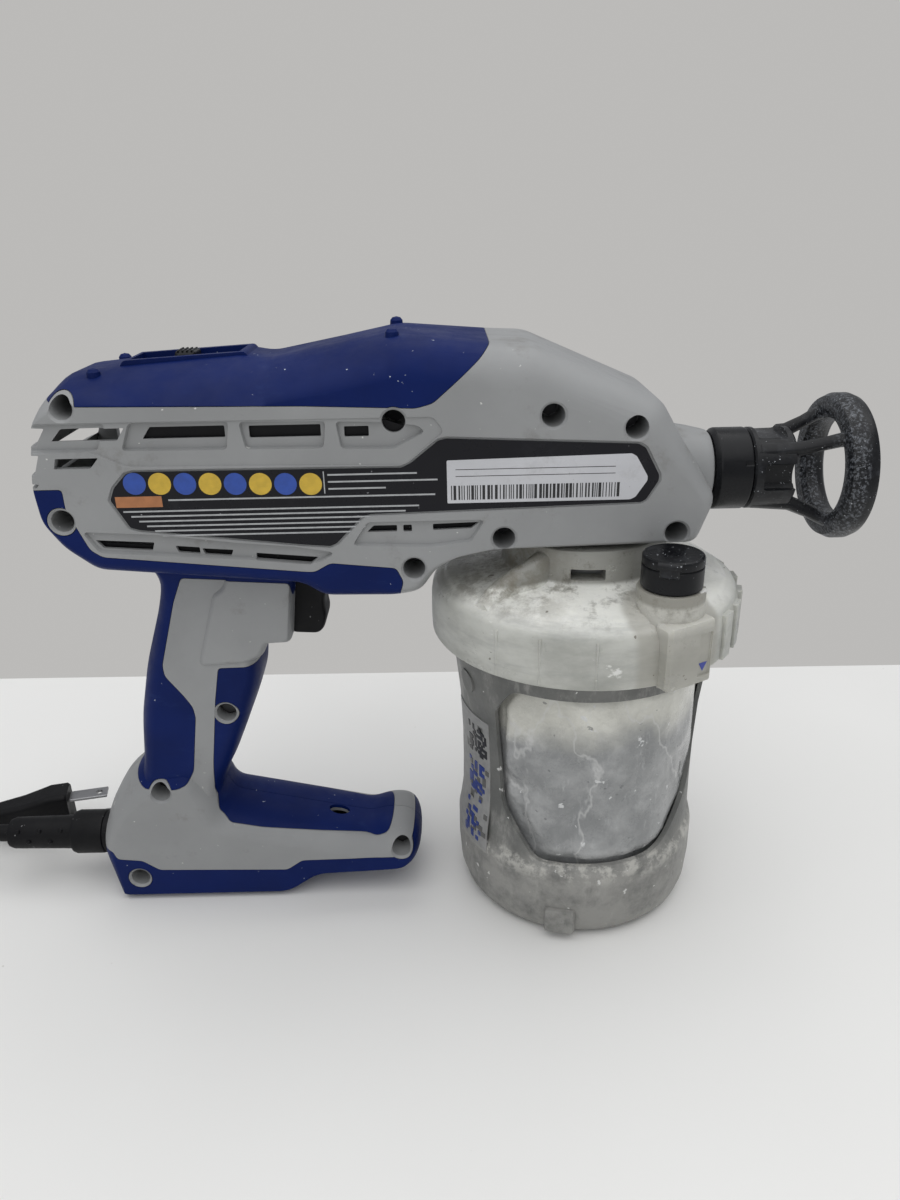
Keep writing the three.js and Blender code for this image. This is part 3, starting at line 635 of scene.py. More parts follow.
def milky_lid():
    """Translucent white plastic: brown grime in the hollows, cloudy bands and thick smears of dry paint;
    painted light makes the dome lighter than the side band, painted shade darkens the collar and the rear of
    the dome, and a darker disc rings the cap's boss.
    """
    look = Look("milky_plastic", 0.34)
    height = look.axis("Z")
    cloud = look.patches(0.3, 0.72, 30, 6, 0.62, (1, 1, 2.2))
    # Painted light: the upward-facing dome gets a lighter copy of the plastic than the side band, as if lit
    # from above.
    band = look.blend(cloud, (0.36, 0.365, 0.335), (0.58, 0.585, 0.545))
    dome = look.blend(cloud, (0.72, 0.725, 0.68), (0.9, 0.9, 0.85))
    look.shade = look.blend(look.ramp(height, 0.147, 0.152), band, dome)
    streaks = look.times(look.patches(0.5, 0.72, 26, 6, 0.65, (1, 1, 7)), 0.4)
    look.over((0.30, 0.31, 0.30), streaks)
    # Painted shade: the collar, tucked under the sprayer's body, is darkened.
    collar = look.ramp(height, 0.1565, 0.1585)
    look.over((0.14, 0.138, 0.12), collar, 0.75)
    grime = look.times(look.patches(0.52, 0.66, 75, 9, 0.75), look.ramp(height, 0.146, 0.160))
    look.over((0.085, 0.075, 0.055), grime, 0.75)
    # Painted shade: the rear of the dome, under the low part of the body, is darkened in brown patches.
    rear = look.times(look.ramp(look.axis("X"), 0.0, -0.035), look.ramp(height, 0.148, 0.157))
    rear_shade = look.times(rear, look.patches(0.36, 0.62, 120, 8, 0.75))
    look.over((0.16, 0.14, 0.10), rear_shade, 0.8)
    # A smooth darker disc of the dome round the cap's boss.
    cap_spot = (0.0265, -0.050)
    boss = look.ramp(look.distance(cap_spot), 0.021, 0.0175)
    look.over((0.33, 0.315, 0.27), boss, 0.55)
    smears = look.patches(0.64, 0.68, 55, 7, 0.6, (1, 1, 1.6))
    look.over((0.78, 0.78, 0.75), smears)
    dots = look.times(look.patches(0.72, 0.735, 260, 3, 0.5), 0.7)
    look.over((0.12, 0.1, 0.07), dots)
    look.colour()
    look.shader.inputs["Subsurface Weight"].default_value = 0.25
    look.shader.inputs["Subsurface Radius"].default_value = (0.006, 0.006, 0.005)
    look.shader.inputs["Subsurface Scale"].default_value = 0.6
    look.roughness(50, 0.7, 0.22, 0.55)
    look.bump(look.noise(160, 6, 0.6), 0.35, 0.0006)
    return look.material


def stained_cup():
    """Grey cup plastic under a cloudy wash of dried paint, paler towards the foot."""
    look = Look("cup_grey", 0.5)
    height = look.axis("Z")
    cloud = look.patches(0.34, 0.7, 34, 7, 0.65)
    look.shade = look.blend(cloud, (0.112, 0.115, 0.11), (0.18, 0.182, 0.173))
    low = look.times(look.ramp(height, 0.047, 0.033), look.patches(0.25, 0.6, 60, 6, 0.7))
    look.over((0.34, 0.335, 0.315), low, 0.8)
    wipes = look.times(look.patches(0.52, 0.7, 90, 8, 0.72, (1, 1, 0.35)), 0.5)
    look.over((0.42, 0.415, 0.39), wipes)
    rim = look.times(look.ramp(height, 0.040, 0.037), look.patches(0.45, 0.6, 140, 6, 0.7))
    drips = look.times(rim, look.ramp(height, 0.026, 0.036))
    look.over((0.55, 0.54, 0.50), drips, 0.8)
    drops = look.patches(0.70, 0.715, 210, 3, 0.5)
    look.over((0.62, 0.62, 0.6), drops)
    look.colour()
    look.roughness(50, 0.7, 0.38, 0.62)
    look.bump(look.noise(240, 6, 0.65), 0.4, 0.0006)
    return look.material


def paint_film():
    """Thin liner film with a pale band of paint above, a grey clear part below, drops, creases, and thin pale
    lines painted as highlights on the creases.
    """
    look = Look("clear_liner", 0.2)
    height = look.axis("Z")
    wave = look.times(look.math("SUBTRACT", look.noise(18, 4), 0.5), 0.05)
    level = look.math("ADD", height, wave)
    upper = look.ramp(level, 0.088, 0.104)
    cloud = look.patches(0.35, 0.68, 40, 7, 0.68)
    clear = look.blend(cloud, (0.22, 0.227, 0.229), (0.40, 0.405, 0.405))
    coat = look.blend(cloud, (0.56, 0.555, 0.50), (0.74, 0.735, 0.67))
    look.shade = look.blend(upper, clear, coat)
    drops = look.patches(0.665, 0.69, 190, 4, 0.55)
    look.over((0.72, 0.73, 0.73), drops, 0.8)
    pits = look.patches(0.69, 0.71, 230, 4, 0.5, (1, 1, 1.3))
    look.over((0.1, 0.105, 0.11), pits, 0.6)
    # Painted highlights: thin pale lines that stand in for light catching the creases.
    crease_field = look.math("SUBTRACT", look.noise(24, 5, 0.5, (1, 1, 0.6)), 0.5)
    crease_highlight = look.ramp(look.math("ABSOLUTE", crease_field, 0), 0.012, 0.0)
    look.over((0.66, 0.66, 0.65), crease_highlight, 0.45)
    scuffs = look.times(look.patches(0.56, 0.7, 300, 8, 0.75, (1, 1, 0.3)), 0.3)
    look.over((0.6, 0.61, 0.61), scuffs)
    look.colour()
    look.shader.inputs["Coat Weight"].default_value = 0.6
    look.shader.inputs["Coat Roughness"].default_value = 0.12
    look.roughness(60, 0.7, 0.15, 0.45)
    look.bump(look.noise(80, 6, 0.6), 0.8, 0.0016)
    return look.material


def flat_look(name, colour, roughness=0.35):
    look = Look(name, roughness)
    tone = look.patches(0.3, 0.7, 300, 4)
    look.shade = look.blend(tone, tuple(c * 0.9 for c in colour), tuple(min(c * 1.08, 1) for c in colour))
    look.colour()
    return look.material


def floor_look():
    """A plain pale table top with faint dirt."""
    look = Look("floor", 0.55, specular=0.25)
    cloud = look.patches(0.3, 0.7, 3, 3)
    specks = look.patches(0.785, 0.795, 160, 2, 0.5)
    look.shade = look.blend(cloud, (0.83, 0.825, 0.805), (0.87, 0.865, 0.845))
    look.over((0.45, 0.43, 0.38), specks, 0.4)
    look.colour()
    return look.material


def add_floor():
    """A plain table top that ends a short way behind the sprayer, with the even studio surround past it."""
    corners = [(-3000, -4000, 0), (3000, -4000, 0), (3000, 146, 0), (-3000, 238, 0)]
    floor = add_mesh("floor", corners, [(0, 1, 2, 3)])
    floor.data.materials.append(floor_look())


# ---- Casing ----
def casing(name, wall):
    """The outer form drawn in by wall: barrel, grip, trigger block, base, nose and inlet boss."""
    whole = barrel(name, wall)
    nose = [
        (0, 10), (19.8 - wall, 10), (19.4 - wall, 27), (17.4 - wall, 38), (16 - wall, 44 - wall),
        (15.4 - wall, 46 - wall), (14.6 - wall, 46.8 - wall), (0, 46.8 - wall),
    ]
    others = [
        pillow("grip", GRIP, GRIP_HALF, 12, wall, 6, 9),
        pillow("trigger_block", BLOCK, BLOCK_HALF, 5, wall, 1.6, 4),
        pillow("base", BASE, BASE_HALF, 20, wall, 4.5, 10),
        lathe("nose", nose, 72, along_x(NOZZLE_Z)),
        rod("boss", 24 - wall, 158 + wall, 185, Matrix(), 72),
    ]
    return join(whole, others)


def towers(radius):
    """A round post right through the body at every screw."""
    return merge("towers", [rod("tower", radius, -THROUGH, THROUGH, along_y(x, z)) for x, z in SCREWS])


def region(name, corners, grow):
    loop = counter_clockwise(corners)
    return prism(name, inset(loop, [-grow] * len(loop)), -THROUGH, THROUGH, 1.6)


def slot_outline(slot):
    x0, x1, z0, z1, height, lean0, lean1 = slot
    return [(x0, z0), (x1, z1), (x1 + lean1, z1 + height), (x0 + lean0, z0 + height)]


def side_cut(name, corners, depth, reach, flare):
    """A tapered pocket cut into both side faces."""
    pieces = []
    for side in (-1, 1):
        tip = side * (BODY_HALF - depth)
        pieces.append(prism(name, corners, tip, tip + side * 6, reach, flare * 6 / max(depth, 1)))
    return pieces


def housing_cuts():
    cuts = [prism("fin", corners, -THROUGH, THROUGH, 0.5) for corners in FINS]
    cuts += side_cut("step", STEP, 0.6, 2, 0.5)
    for corners, depth in POCKETS:
        cuts += side_cut("pocket", corners, depth + 0.8, 1.2, 0.6)
    for slot in SLOTS:
        for side in (-1, 1):
            cuts.append(prism("slot", slot_outline(slot), side * 24, side * THROUGH, 0.5))
    cuts.append(prism("see_through", bar(-195, -184, 201.6, 208), 24, THROUGH, 0.5))
    for x, z in SCREWS:
        half = BODY_HALF if z > 100 else GRIP_HALF if z > 70 else BASE_HALF
        floor = -14 if z > 100 else -9
        cuts.append(rod("hole", 4.2, -THROUGH, floor, along_y(x, z)))
        cuts.append(rod("mouth", 5.6, -half - 0.6, -half + 1.0, along_y(x, z), end_radius=4.2))
    cuts.append(block("well", -171, -131, -8, 8, 233, 260, edge=1))
    cuts.append(rod("outlet", 11.8, 20, 60, along_x(NOZZLE_Z), 48))
    cuts.append(rod("inlet", 14.6, 150, 170, Matrix(), 48))
    cuts.append(rod("cord_hole", CORD_HOLE_R, -240, -204, along_x(CORD_Z), 48))
    cuts.append(prism("trigger_mouth", TRIGGER_SLOT, -9, 9, 1))
    return cuts


def build_casing(looks):
    outer = casing("outer", 0)
    inner = casing("inner", WALL)
    bed = casing("bed", SKIN + 0.25)
    under = casing("under", SKIN)
    shell = copy_of(outer, "shell")
    cut(shell, [inner])
    foot_hole = rod("foot_hole", 3.1, 20, 60, shift(-109, -3.6, 0) @ Matrix.Diagonal((1.5, 1, 1, 1)))
    join(shell, [clip(towers(TOWER_R), [outer], keep=True)])
    posts = towers(TOWER_R)
    wide_posts = towers(TOWER_R + 0.3)
    cord_hole = rod("cord_gap", CORD_HOLE_R, -240, -204, along_x(CORD_Z), 48)
    well = block("cover_well", -171.3, -130.7, -8.3, 8.3, 200, 300)
    halves = {
        "right": block("right_space", -300, 200, -THROUGH, -SEAM, -20, 300),
        "left": block("left_space", -300, 200, SEAM, THROUGH, -20, 300),
    }
    for corners in (TOP_COVER, REAR_GRIP, FRONT_GRIP, BASE_RAIL):
        recess = region("recess", corners, 0.22)
        cut(recess, [bed, posts], keep=True)
        cut(shell, [recess])
    cut(shell, housing_cuts())
    cut(shell, [foot_hole], keep=True)
    add_vent_shade_sheets(looks)
    for side, space in halves.items():
        half = copy_of(shell, f"{side}_housing_shell")
        clip(half, [space], keep=True)
        if side == "right":
            bed_outline = inset(counter_clockwise(LABEL), [-0.5] * len(LABEL))
            cut(half, [prism("label_bed", bed_outline, -BODY_HALF + 0.9, -BODY_HALF - 5, 0.8, 3)])
        show(half, "sprayer", looks["grey"], f"{side}_housing")
    skin = copy_of(outer, "skin")
    cut(skin, [under])
    cover = copy_of(skin, "top_cover_skin")
    clip(cover, [region("cover_region", TOP_COVER, 0)])
    cut(cover, [wide_posts, well], keep=True)
    add_cover_details(cover)
    show(cover, "sprayer", looks["blue"], "top_cover")
    for place, corners in (("rear_grip", REAR_GRIP), ("front_grip", FRONT_GRIP), ("base", BASE_RAIL)):
        whole = copy_of(skin, place)
        clip(whole, [region("skin_region", corners, 0)])
        cut(whole, [wide_posts, cord_hole, foot_hole], keep=True)
        for side, space in halves.items():
            half = copy_of(whole, f"{side}_{place}_skin")
            clip(half, [space], keep=True)
            show(half, "sprayer", looks["blue"], f"{side}_{place}_overmould")
        bpy.data.objects.remove(whole)
    for scrap in (outer, bed, shell, posts, wide_posts, cord_hole, foot_hole, well, skin, *halves.values()):
        bpy.data.objects.remove(scrap)


def add_vent_shade_sheets(looks):
    """Dark sheets just inside the cooling slots, as painted shade so the vents look dark inside."""
    areas = [
        [(-170, 212), (-76, 211), (-70, 219), (-82, 223), (-170, 223.4)],
        [(-188, 178), (-104, 171.4), (-100, 167.4), (-186, 171.8)], [(-90, 177.6), (-88, 185), (-42, 185),
        (-42, 177.6)],
    ]
    for side, name in ((-1, "right"), (1, "left")):
        # Black sheets that stand for the shade inside the vents.
        sheets = [prism("shade_sheet", corners, side * 29.6, side * 30.2, 1) for corners in areas]
        show(merge(f"{name}_vent_shade_sheets", sheets), "sprayer", looks["rubber"])


def add_cover_details(cover):
    """Round nubs near the cover's corners and the raised rim round the speed slide."""
    nubs = []
    for x, z in ((-74, 248.8), (-182, 237.2)):
        for y in (-18, 18):
            profile = [(0, -6), (3, -6), (2.4, 1.2), (1.6, 2.2), (0, 2.6)]
            nubs.append(lathe("nub", profile, 20, shift(x, y, z)))
    rim = prism("rim", [(-176, 237), (-126, 240), (-128.6, 243.3), (-173.4, 241)], -10.8, 10.8, 1)
    cut(rim, [block("rim_hole", -171.3, -130.7, -8.3, 8.3, 230, 260)])
    join(cover, [*nubs, rim])


# ---- Labels ----
LABEL_FACE = -BODY_HALF + 0.35
DOT_R = 4.1


def label_prism(name, corners, proud, reach=0):
    return prism(name, corners, LABEL_FACE - proud, LABEL_FACE + 0.25, reach)


def dot_outline(x, z):
    turns = [2 * math.pi * i / 28 for i in range(28)]
    return [(x + DOT_R * math.cos(t), z + DOT_R * math.sin(t)) for t in turns]


def rules(rows, height):
    """Plain thin bars, one for each (x0, x1, z)."""
    return [bar(x0, x1, z, z + height) for x0, x1, z in rows]


def build_labels(looks):
    """A black film with plain coloured dots and rules, and a pale plate with an upright hatch: no print."""
    plate = counter_clockwise(LABEL)
    show(label_prism("side_label_film", plate, 0, 0.6), "sprayer", looks["label_black"], "warning_label")
    white = flat_look("print_white", (0.40, 0.41, 0.42))
    dark = flat_look("print_black", (0.012, 0.012, 0.014))

    def layer(name, outlines, look, proud=0.03):
        pieces = [label_prism("bit", outline, proud) for outline in outlines]
        show(merge(name, pieces), "sprayer", look)

    spots = [(-168.3 + i * 9.06, 201 - 0.22 * i) for i in range(8)]
    for first, name, colour in ((0, "blue", (0.02, 0.07, 0.36)), (1, "ochre", (0.60, 0.40, 0.04))):
        dots = [dot_outline(x, z) for x, z in spots[first::2]]
        layer(f"label_{name}_dots", dots, flat_look(f"dot_{name}", colour))
    layer("label_tan_bar", [bar(-176.2, -159.3, 192.1, 196.2)], flat_look("bar_tan", (0.40, 0.16, 0.06)))
    layer("label_divider", [bar(-100.2, -99.8, 195.8, 204)], white)
    rows = [(-98.6, -66.4, 202.4), (-98.6, -59, 199.8), (-98.6, -77.8, 197.2), (-157, -60, 194.3)]
    rows += [(-174 + 2.6 * i, -66 - 5 * i, 190.2 - 1.9 * i) for i in range(6)]
    layer("label_rules", rules(rows, 0.6), white)
    show(label_prism("data_plate_film", DATA_PLATE, 0.04, 0.5), "sprayer", looks["label_white"], "data_plate")
    random.seed(21)
    x = -54.2
    hatch = []
    while x < 7.4:
        width = random.choice((0.35, 0.35, 0.6, 1.0))
        hatch.append(bar(x, x + width, 192.2, 197.6))
        x += width + random.choice((0.35, 0.5, 0.8))
    lines = rules([(-52.5, 5.2, 203.4), (-52.5, 5.2, 200.9)], 0.25)
    layer("data_plate_hatch", hatch + lines, dark, 0.06)


# ---- Trigger, slide and screws ----
def build_controls(looks):
    trigger = pillow("trigger_lever", [(x, z, 1.6) for x, z in TRIGGER], 8.4, 3, 0, 2.2, 5)
    show(trigger, "trigger_body", looks["rubber"], "trigger")
    knob = block("speed_knob", -156, -148, -5, 5, 237.6, 243, edge=1.2)
    starts = [-155 + 1.7 * i for i in range(4)]
    ridges = [block("ridge", x, x + 0.7, -4.4, 4.4, 242.4, 243.4, edge=0.25) for x in starts]
    plate = block("slide_plate", -159, -145, -6, 6, 237.3, 239, edge=0.4)
    show(join(knob, [plate, *ridges]), "slide_body", looks["black"], "speed_slide")
    for i in range(1, 13):
        paint(f"case_screw_{i}", looks["dark_steel"])


def paint(node, look):
    NODES[node].data.materials.clear()
    NODES[node].data.materials.append(look)


def paint_inner_nodes(looks):
    table = {
        "dark_steel": ["motor_stator", "trigger_spring", "swash_plate"],
        "steel": ["armature_shaft", "pump_block", "pump_piston_1", "pump_piston_2", "pump_piston_3",
                  "outlet_valve_housing", "valve_needle"],
        "nylon": ["motor_rear_bracket", "motor_front_bracket", "cooling_fan", "drive_gear", "inlet_strainer"],
        "copper": ["armature_core", "commutator"],
        "brass": ["motor_pinion"],
        "board": ["circuit_board"],
        "black": ["trigger_switch", "speed_switch_body"],
        "rubber": ["cover_gasket"],
    }
    for look, names in table.items():
        for name in names:
            paint(name, looks[look])


# ---- Nozzle ----
def build_nozzle(looks):
    nut = lathe("retaining_nut_ring", [
        (12.5, 47.6), (14.6, 47.6), (15.9, 49.2), (16.1, 50), (16.1, 60.9), (15.8, 61.6), (15.2, 62),
        (12.5, 62),
    ], 72, along_x(NOZZLE_Z))
    cut(nut, [block("nut_notch", 58.4, 66, -17.5, -14.6, NOZZLE_Z + 4.6, NOZZLE_Z + 7.6, edge=0.4)])
    show(nut, "nut", looks["black"], "retaining_nut")
    guard = lathe("tip_guard_body", [
        (10, 62.3), (15.3, 62.3), (16, 63), (16, 78), (15, 79), (11.5, 79), (7, 76), (7, 66), (10, 66),
    ], 72, along_x(NOZZLE_Z))
    ring = lathe("guard_ring", [
        (18.8, 95.4), (20.4, 93.6), (24.4, 93), (27, 94), (28.4, 97), (28.4, 101), (27.4, 103.4),
        (25.2, 104.5),
        (22.2, 104.2), (19.8, 102.6), (18.6, 99.6),
    ], 96, along_x(NOZZLE_Z))
    ring.data.transform(Matrix.Diagonal((1, 1.07, 1, 1)))
    arms = [guard_arm(d) for d in (42, 118, 300)]
    join(guard, [ring, *arms])
    bore = rod("tip_bore", 5.3, -10, 20, along_y(TIP_X, NOZZLE_Z), 40)
    notch = block("throat_notch", 66, 84, -18, -10.5, NOZZLE_Z - 5.2, NOZZLE_Z + 5.2, edge=1.5)
    shelf = block("throat_shelf", 64.5, 76, -13, 13, NOZZLE_Z + 13.6, NOZZLE_Z + 18, edge=1)
    cut(guard, [bore, notch, shelf])
    show(guard, "guard", looks["speckled"], "tip_guard", angle=38)
    tip = rod("spray_tip_barrel", 4.8, -9.6, 17, along_y(TIP_X, NOZZLE_Z), 40)
    handle = block("tip_handle", 69.2, 73.8, 16.6, 29, NOZZLE_Z - 7, NOZZLE_Z + 7, edge=1.4)
    show(join(tip, [handle]), "tip", looks["blue"], "spray_tip")


def guard_arm(degrees):
    """One strut from the throat to the ring: a web that narrows to a rounded rib."""
    sections = [
        (64.8, 12.8, 2.9, 3.4), (72, 13.6, 2.7, 3.2), (79, 14.4, 2.4, 3.0), (86, 17.6, 2.2, 2.8),
        (93, 21.4, 2.4, 2.9), (100, 23.6, 3.0, 3.4),
    ]
    turn = shift(0, 0, NOZZLE_Z) @ spin(90 - degrees, "X")
    rings = []
    for x, radius, half, thick in sections:
        ring = []
        for i in range(16):
            a = 2 * math.pi * i / 16
            shape = abs(math.cos(a)) ** 0.6, abs(math.sin(a)) ** 0.6
            y = half * math.copysign(shape[0], math.cos(a))
            z = radius + thick * math.copysign(shape[1], math.sin(a))
            ring.append(turn @ Vector((x, y, z)))
        rings.append(ring)
    return loft("arm", rings)


# ---- Paint cup ----
WINDOW = [
    (-138, 104), (-126, 118), (-27, 118), (-17, 110), (-18, 76), (-25, 62), (-51, 41), (-60, 38),
    (-116, 37.5),
    (-135, 60),
]


def window_span(bearing):
    """Where an upright line at this bearing enters and leaves the window's outline."""
    crossings = []
    corners = soften(WINDOW, 5, 5)
    for a, b in zip(corners, corners[1:] + corners[:1]):
        if min(a[0], b[0]) <= bearing < max(a[0], b[0]):
            crossings.append(a[1] + (b[1] - a[1]) * (bearing - a[0]) / (b[0] - a[0]))
    return min(crossings), max(crossings)


def window(name, turn):
    """A curved block through the cup's wall with the window's outline, turned by this many degrees."""
    rings = []
    for step in range(96):
        bearing = -137.2 + step * 1.25
        low, high = window_span(bearing)
        c, s = math.cos(math.radians(bearing)), math.sin(math.radians(bearing))
        rings.append([(r * c, r * s, z) for r, z in ((44, low), (70, low), (70, high), (44, high))])
    band = loft(name, rings)
    band.data.transform(spin(turn))
    return band


def build_cup(looks):
    support = lathe("cup_support_shell", [
        (0, 0.2), (45.6, 0.2), (48.4, 1.2), (50.8, 4), (52.4, 9), (53.2, 20), (53.2, 33), (52.6, 35.6),
        (51.2, 37.5),
        (WAIST, 60), (WAIST, 75), (51.6, 95), (53.4, 112), (55.8, 125), (58, 134), (58.6, 139), (58.6, 143),
        (56.2, 143), (55.4, 134), (53.2, 125), (49.8, 95), (48.6, 75), (48.6, 60), (49.2, 38), (50.4, 12),
        (48, 2.5), (0, 2.5),
    ], 144)
    lug = block("foot_lug", 49.5, 54.9, -6.5, 6.5, 4.5, 16, spin(-103), 0.8)
    join(support, [lug])
    cut(support, [window("front_window", 0), window("rear_window", 180)])
    show(support, "cup", looks["cup"], "cup_support", angle=40)
    build_liner(looks)
    build_cup_label(looks)


def build_liner(looks):
    """The thin bag inside the cup: it bulges out through both windows and is creased all over."""
    rows = 44
    outer = [(46 + min(i, 3) * 0.5, 6 + i * 2.7) for i in range(rows)]
    inner = [(45.2 + min(i, 3) * 0.5, 6.4 + i * 2.7) for i in range(rows)]
    lip = [
        (49.3, 124), (51.4, 128), (54.8, 143.5), (57.8, 143.5), (57.8, 144.4), (54.1, 144.4), (50.6, 128),
        (48.4, 124),
    ]
    profile = [(0, 3.2), (30, 3.2), (43, 3.4), *outer, *lip, *inner[::-1], (42.6, 4.4), (30, 4.2), (0, 4.2)]
    liner = lathe("cup_liner_film", profile, 220)
    for vertex in liner.data.vertices:
        x, y, z = vertex.co / MM
        radius = math.hypot(x, y)
        if radius > 20 and 7 < z < 125:
            moved = radius + film_shift(math.degrees(math.atan2(y, x)), z)
            vertex.co = Vector((x * moved / radius, y * moved / radius, z)) * MM
    show(liner, "cup", looks["film"], "cup_liner", angle=60)


def ease(value):
    t = min(max(value, 0), 1)
    return t * t * (3 - 2 * t)


def film_shift(bearing, z):
    """How far the film stands out from its round shape: out through a window, in along its creases."""
    turned = bearing if bearing < 0 else bearing - 180
    bulge = 0
    if -137 < turned < -18:
        low, high = window_span(turned)
        across = min((turned + 137) / 5, (-18 - turned) / 2)
        bulge = ease(across) * ease((z - low) / 4) * ease((high - z) / 4)
    angle = math.radians(bearing)
    at = Vector((math.cos(angle) * 1.3 + z / 90, math.sin(angle) * 1.3, z / 55))
    fold = max(1 - abs(noise.noise(at * 1.6)) * 5, 0)
    dent = abs(noise.fractal(at * 1.3 + Vector((3, 1, 7)), 0.9, 2.0, 3))
    left = ease((-75 - turned) / 40)
    fade = min((z - 7) / 15, (125 - z) / 10, 1)
    depth = min(0.2 + (2.2 * fold + 4.5 * dent) * (0.35 + 0.65 * left), 5)
    return bulge * 3 - fade * depth * (0.35 + 0.65 * bulge)


def build_cup_label(looks):
    """A torn paper strip on the left pillar with scattered dark and blue specks, under a plain round pad."""
    random.seed(13)
    paper = speckle(-173, -141, 31.5, 95.5, 4, 0.97, 0.25)
    show(merge("cup_strip", paper), "cup", flat_look("strip_paper", (0.3, 0.3, 0.295), 0.5))
    for name, span, size, share, shade in (
        ("strip_dots", (-160, -144, 76, 91), 1.3, 0.45, (0.03, 0.03, 0.032)),
        ("strip_blue_specks", (-161, -144.5, 34, 73), 1.9, 0.33, (0.03, 0.055, 0.25)),
        ("strip_stains", (-160, -142, 36, 72), 2.2, 0.22, (0.13, 0.13, 0.125)),
    ):
        show(merge(name, speckle(*span, size, share)), "cup", flat_look(f"{name}_tone", shade))
    turns = [math.tau * i / 32 for i in range(32)]
    pad = [(-156 + 5.5 * math.cos(t), 111 + 5 * math.sin(t)) for t in turns]
    show(curved_patch("cup_pad", pad, -0.8, 0.9), "cup", looks["cup"])


def speckle(start, end, low, high, size, share, proud=0.5):
    """Small squares scattered over a patch of the strip, on a grid of this size in mm."""
    step = size * 1.1
    cells = []
    for row in range(int((high - low) / size)):
        for column in range(int((end - start) / step)):
            if random.random() < share:
                b, z = start + column * step, low + row * size
                corners = [(b, z), (b + step, z), (b + step, z + size), (b, z + size)]
                cells.append(curved_patch("cell", corners, -0.3, proud))
    return cells


def curved_patch(name, corners, inner, outer):
    """A patch wrapped round the cup between two distances from its wall; corners are (bearing, z)."""
    loop = []
    for a, b in zip(corners, corners[1:] + corners[:1]):
        steps = max(1, round(abs(b[0] - a[0]) / 3))
        loop += [(a[0] + (b[0] - a[0]) * k / steps, a[1] + (b[1] - a[1]) * k / steps) for k in range(steps)]
    rings = []
    for proud in (inner, outer):
        ring = []
        for b, z in loop:
            r = cup_wall(z) + proud
            ring.append((r * math.cos(math.radians(b)), r * math.sin(math.radians(b)), z))
        rings.append(ring)
    return loft(name, rings)


def cup_wall(z):
    """The radius of the cup's wall at this height."""
    if z < 60:
        return WAIST + 2.4 * ease((60 - z) / 24)
    return WAIST + 2.6 * (max(z - 75, 0) / 37) ** 1.5


def build_cover(looks):
    boss_at = shift(*CAP_AT, 0)
    lug_way = spin(LUG_TURN)
    cover = lathe("cup_cover_shell", [
        (59.5, 127.5), (62.4, 127.5), (63, 128.4), (63.2, 134), (63, 143), (62.4, 146.6), (60.9, 149.2),
        (58.8, 150.4),
        (57.9, 150.6), (57.2, 151.4), (55.9, 152.5), (53.6, 153.2), (52.6, 153.2), (51.6, 153.7),
        (46, 154.9), (40, 155.7),
        (36, 156.2), (34, 157), (33.3, 158.4), (33.2, 168.6), (32.6, 170.2),
        (31.6, 170.6), (26.4, 170.6), (25.6, 170), (25.6, 156), (16.5, 156), (16.5, 153), (34, 152.6),
        (46, 150.4),
        (58, 147.2), (59.5, 146),
    ], 160)
    boss = [(0, 146), (BOSS_R, 146), (BOSS_R, 160.8), (12.2, 161.7), (0, 161.7)]
    foot = rod("boss_foot", BOSS_R, 125.5, 151, boss_at, 64)
    extras = [
        lathe("cap_boss", boss, 64, boss_at),
        cut(foot, [rod("inside", 60.8, 100, 200, Matrix(), 160)]),
        block("lug", 58, 67, -12, 10, 126.5, 152, lug_way, 1.2),
        ramp_web("ramp", -127), ramp_web("far_ramp", 53),
    ]
    for bearing in (-128, -112, -93, -38, -27, -14, 0, 14, 28):
        proud = 63.5 if bearing < -50 else 64.3
        width = 0.45 if bearing < -50 else 3.4
        extras.append(block("rib", 60.5, proud, -width, width, 128.2, 147, spin(bearing), 0.4))
    join(cover, extras)
    slot = block("lock_slot", -9.5, 3.7, -40, -20, 158.8, 163.3, edge=0.6)
    recess = block("lug_recess", 66.2, 70, 2.6, 8.6, 129.5, 147, lug_way, 0.3)
    cut(cover, [slot, recess, rod("vent", 5, 140, 170, boss_at)])
    show(cover, "cover", looks["lid"], "cup_cover", angle=38)
    mark = [(3.6, 134.6), (7.6, 134.6), (5.6, 131.1)]
    rings = [[lug_way @ Vector((x, y, z)) for y, z in mark] for x in (66, 66.3)]
    show(loft("lug_mark", rings), "cover", flat_look("mark_blue", (0.03, 0.05, 0.3)))


def ramp_web(name, start):
    """The broad rounded rib that runs down from the collar and outwards onto the dome."""
    rings = []
    for i in range(25):
        t = i / 24
        bearing = math.radians(start - 12 * ease(t * 1.2))
        reached = 30 + 28 * t
        top = 169.5 - 17 * t ** 1.4
        half = 3.6 + 1.2 * t
        across = Vector((-math.sin(bearing), math.cos(bearing), 0))
        middle = Vector((reached * math.cos(bearing), reached * math.sin(bearing), 0))
        points = [middle + across * half * side + Vector((0, 0, 147)) for side in (-1, 1)]
        for k in range(9):
            a = math.pi * k / 8
            upper = Vector((0, 0, top - half * (1 - math.sin(a))))
            points.append(middle + across * half * math.cos(a) + upper)
        rings.append(points)
    return loft(name, rings)


